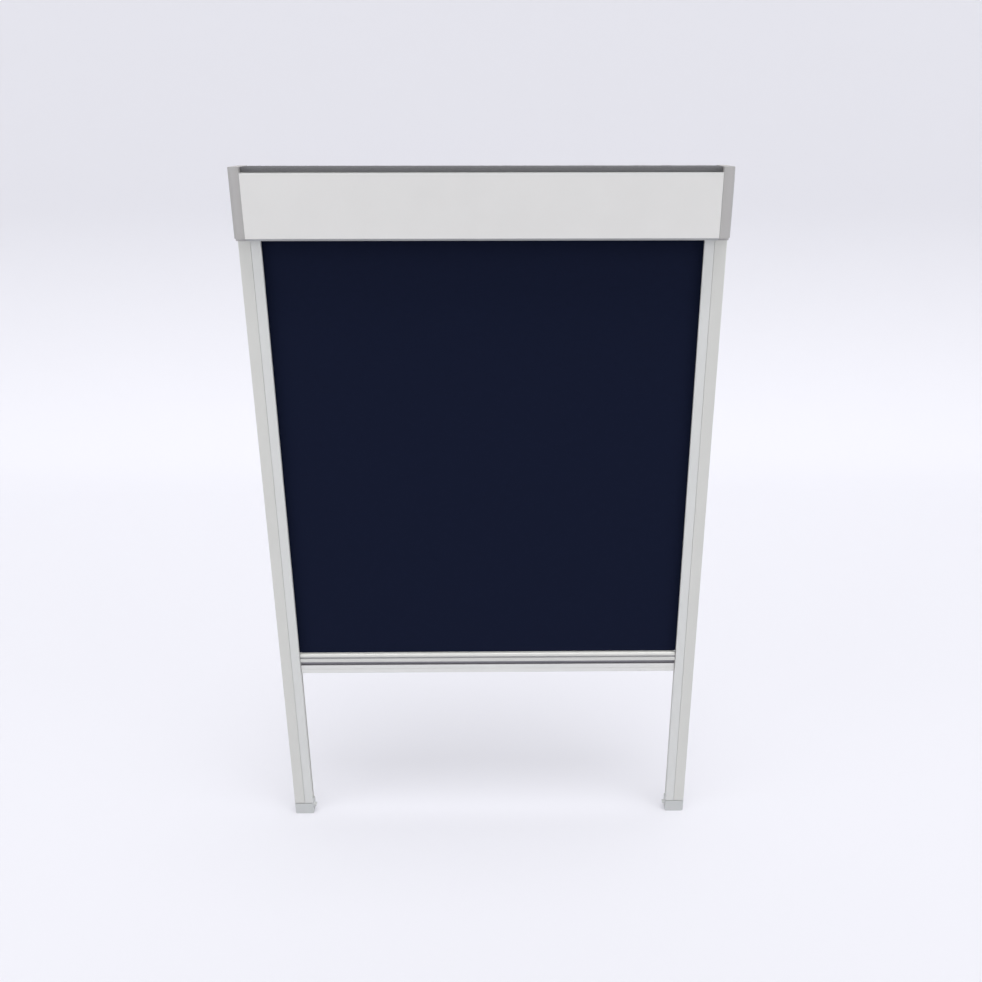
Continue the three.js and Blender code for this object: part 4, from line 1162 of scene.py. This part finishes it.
def seen_directly(tree):
    """1 where a camera ray, its reflection or its refraction arrives, and 0 for the light that is given."""
    rays = place_node(tree, "ShaderNodeLightPath").outputs
    seen = rays["Is Camera Ray"]
    for kind in ("Is Glossy Ray", "Is Transmission Ray"):
        seen = calculate(tree, "MAXIMUM", seen, rays[kind])
    return seen


def place_lamp(name, source, level):
    """A wide soft lamp, far off in the direction of source, that lights a face turned to it by level."""
    light = bpy.data.lights.new(name, "SUN")
    light.angle = LAMP_SPREAD
    light.energy = level * math.pi
    lamp = add_object(name, light)
    lamp.matrix_world = Vector(source).to_track_quat("Z", "Y").to_matrix().to_4x4()


def set_light():
    """An even pale sky, a wide soft lamp overhead, and a weaker one in front on each side."""
    world = bpy.data.worlds.new("pale_sky")
    world.use_nodes = True
    tree = world.node_tree
    sky = tree.nodes["Background"]
    sky.inputs["Color"].default_value = linear(SKY_COLOUR)
    lift = calculate(tree, "MULTIPLY", seen_directly(tree), SKY_SEEN_STRENGTH - SKY_STRENGTH)
    tree.links.new(calculate(tree, "ADD", lift, SKY_STRENGTH), sky.inputs["Strength"])
    bpy.context.scene.world = world
    place_lamp("top_lamp", TOP_LAMP_FROM, TOP_LAMP_LEVEL)
    across, deep, up = SIDE_LAMP_FROM
    for name, side in SIDES.items():
        place_lamp(f"{name}_lamp", (side * across, deep, up), SIDE_LAMP_LEVEL)


def make_backdrop():
    """A pale floor that sweeps up behind the blind: a profile of floor, quarter circle and wall, along X."""
    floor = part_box("rail_foot_cap_left")[0].z
    turn = np.linspace(-np.pi / 2, 0, CURVE_POINTS)
    sweep = (BACKDROP_BEHIND, floor + BACKDROP_SWEEP) + BACKDROP_SWEEP * unit_circle(turn)
    wall_top = (BACKDROP_BEHIND + BACKDROP_SWEEP, floor + BACKDROP_HEIGHT)
    profile = np.concatenate([[(BACKDROP_FRONT, floor)], sweep, [wall_top]])
    places = carry_along_x(profile, (-BACKDROP_HALF_WIDTH, BACKDROP_HALF_WIDTH))
    backdrop = mesh_object("backdrop", places, grid_faces(2, len(profile), closed=False))
    finish = Finish("backdrop_paper", Base_Color=linear(BACKDROP_COLOUR), Roughness=0.9,
                    Specular_IOR_Level=0.1, Emission_Color=linear(BACKDROP_GLOW_COLOUR))
    glow = calculate(finish.tree, "MULTIPLY", seen_directly(finish.tree), BACKDROP_GLOW)
    finish.feed("Emission Strength", glow)
    backdrop.data.materials.append(finish.material)


# The moulded pieces of each side: node, piece, edge, body, finish and slot
MOULDED_PIECES = (
    ("end_cap", "moulded_cap", CAP_EDGE_ROUND, "root", "cap", "grey_plastic"),
    ("rail_foot_cap", "moulded_foot", FOOT_EDGE_ROUND, "root", "foot", "pale_grey_plastic"),
    ("bar_end_guide", "moulded_guide", CAP_EDGE_ROUND, "bar", "cap", "grey_plastic"),
)

make_camera()
set_light()
make_backdrop()
make_head_panel()
make_top_seal()
for name, side in SIDES.items():
    make_rail_body(name, side)
    make_rail_cover(name, side)
    make_brake_pad(name)
    make_bracket(name, side)
    for height in ("upper", "lower"):
        make_screw(f"cap_screw_{name}_{height}", *CAP_SCREW)
    for kind in ("joiner", "foot"):
        make_screw(f"{kind}_screw_{name}", *SIDE_SCREW)
    for node, piece, *rest in MOULDED_PIECES:
        make_rounded(f"{node}_{name}", f"{piece}_{name}", *rest)
make_rounded("head_back_profile", "head_back", BACK_EDGE_ROUND, "root", "head", "aluminium")
make_grip_strip()
make_bar_web()
make_bar_back()
make_roll()
make_spring()
make_fabric()

bpy.context.scene.view_settings.view_transform = "Standard"

bpy.context.view_layer.update()
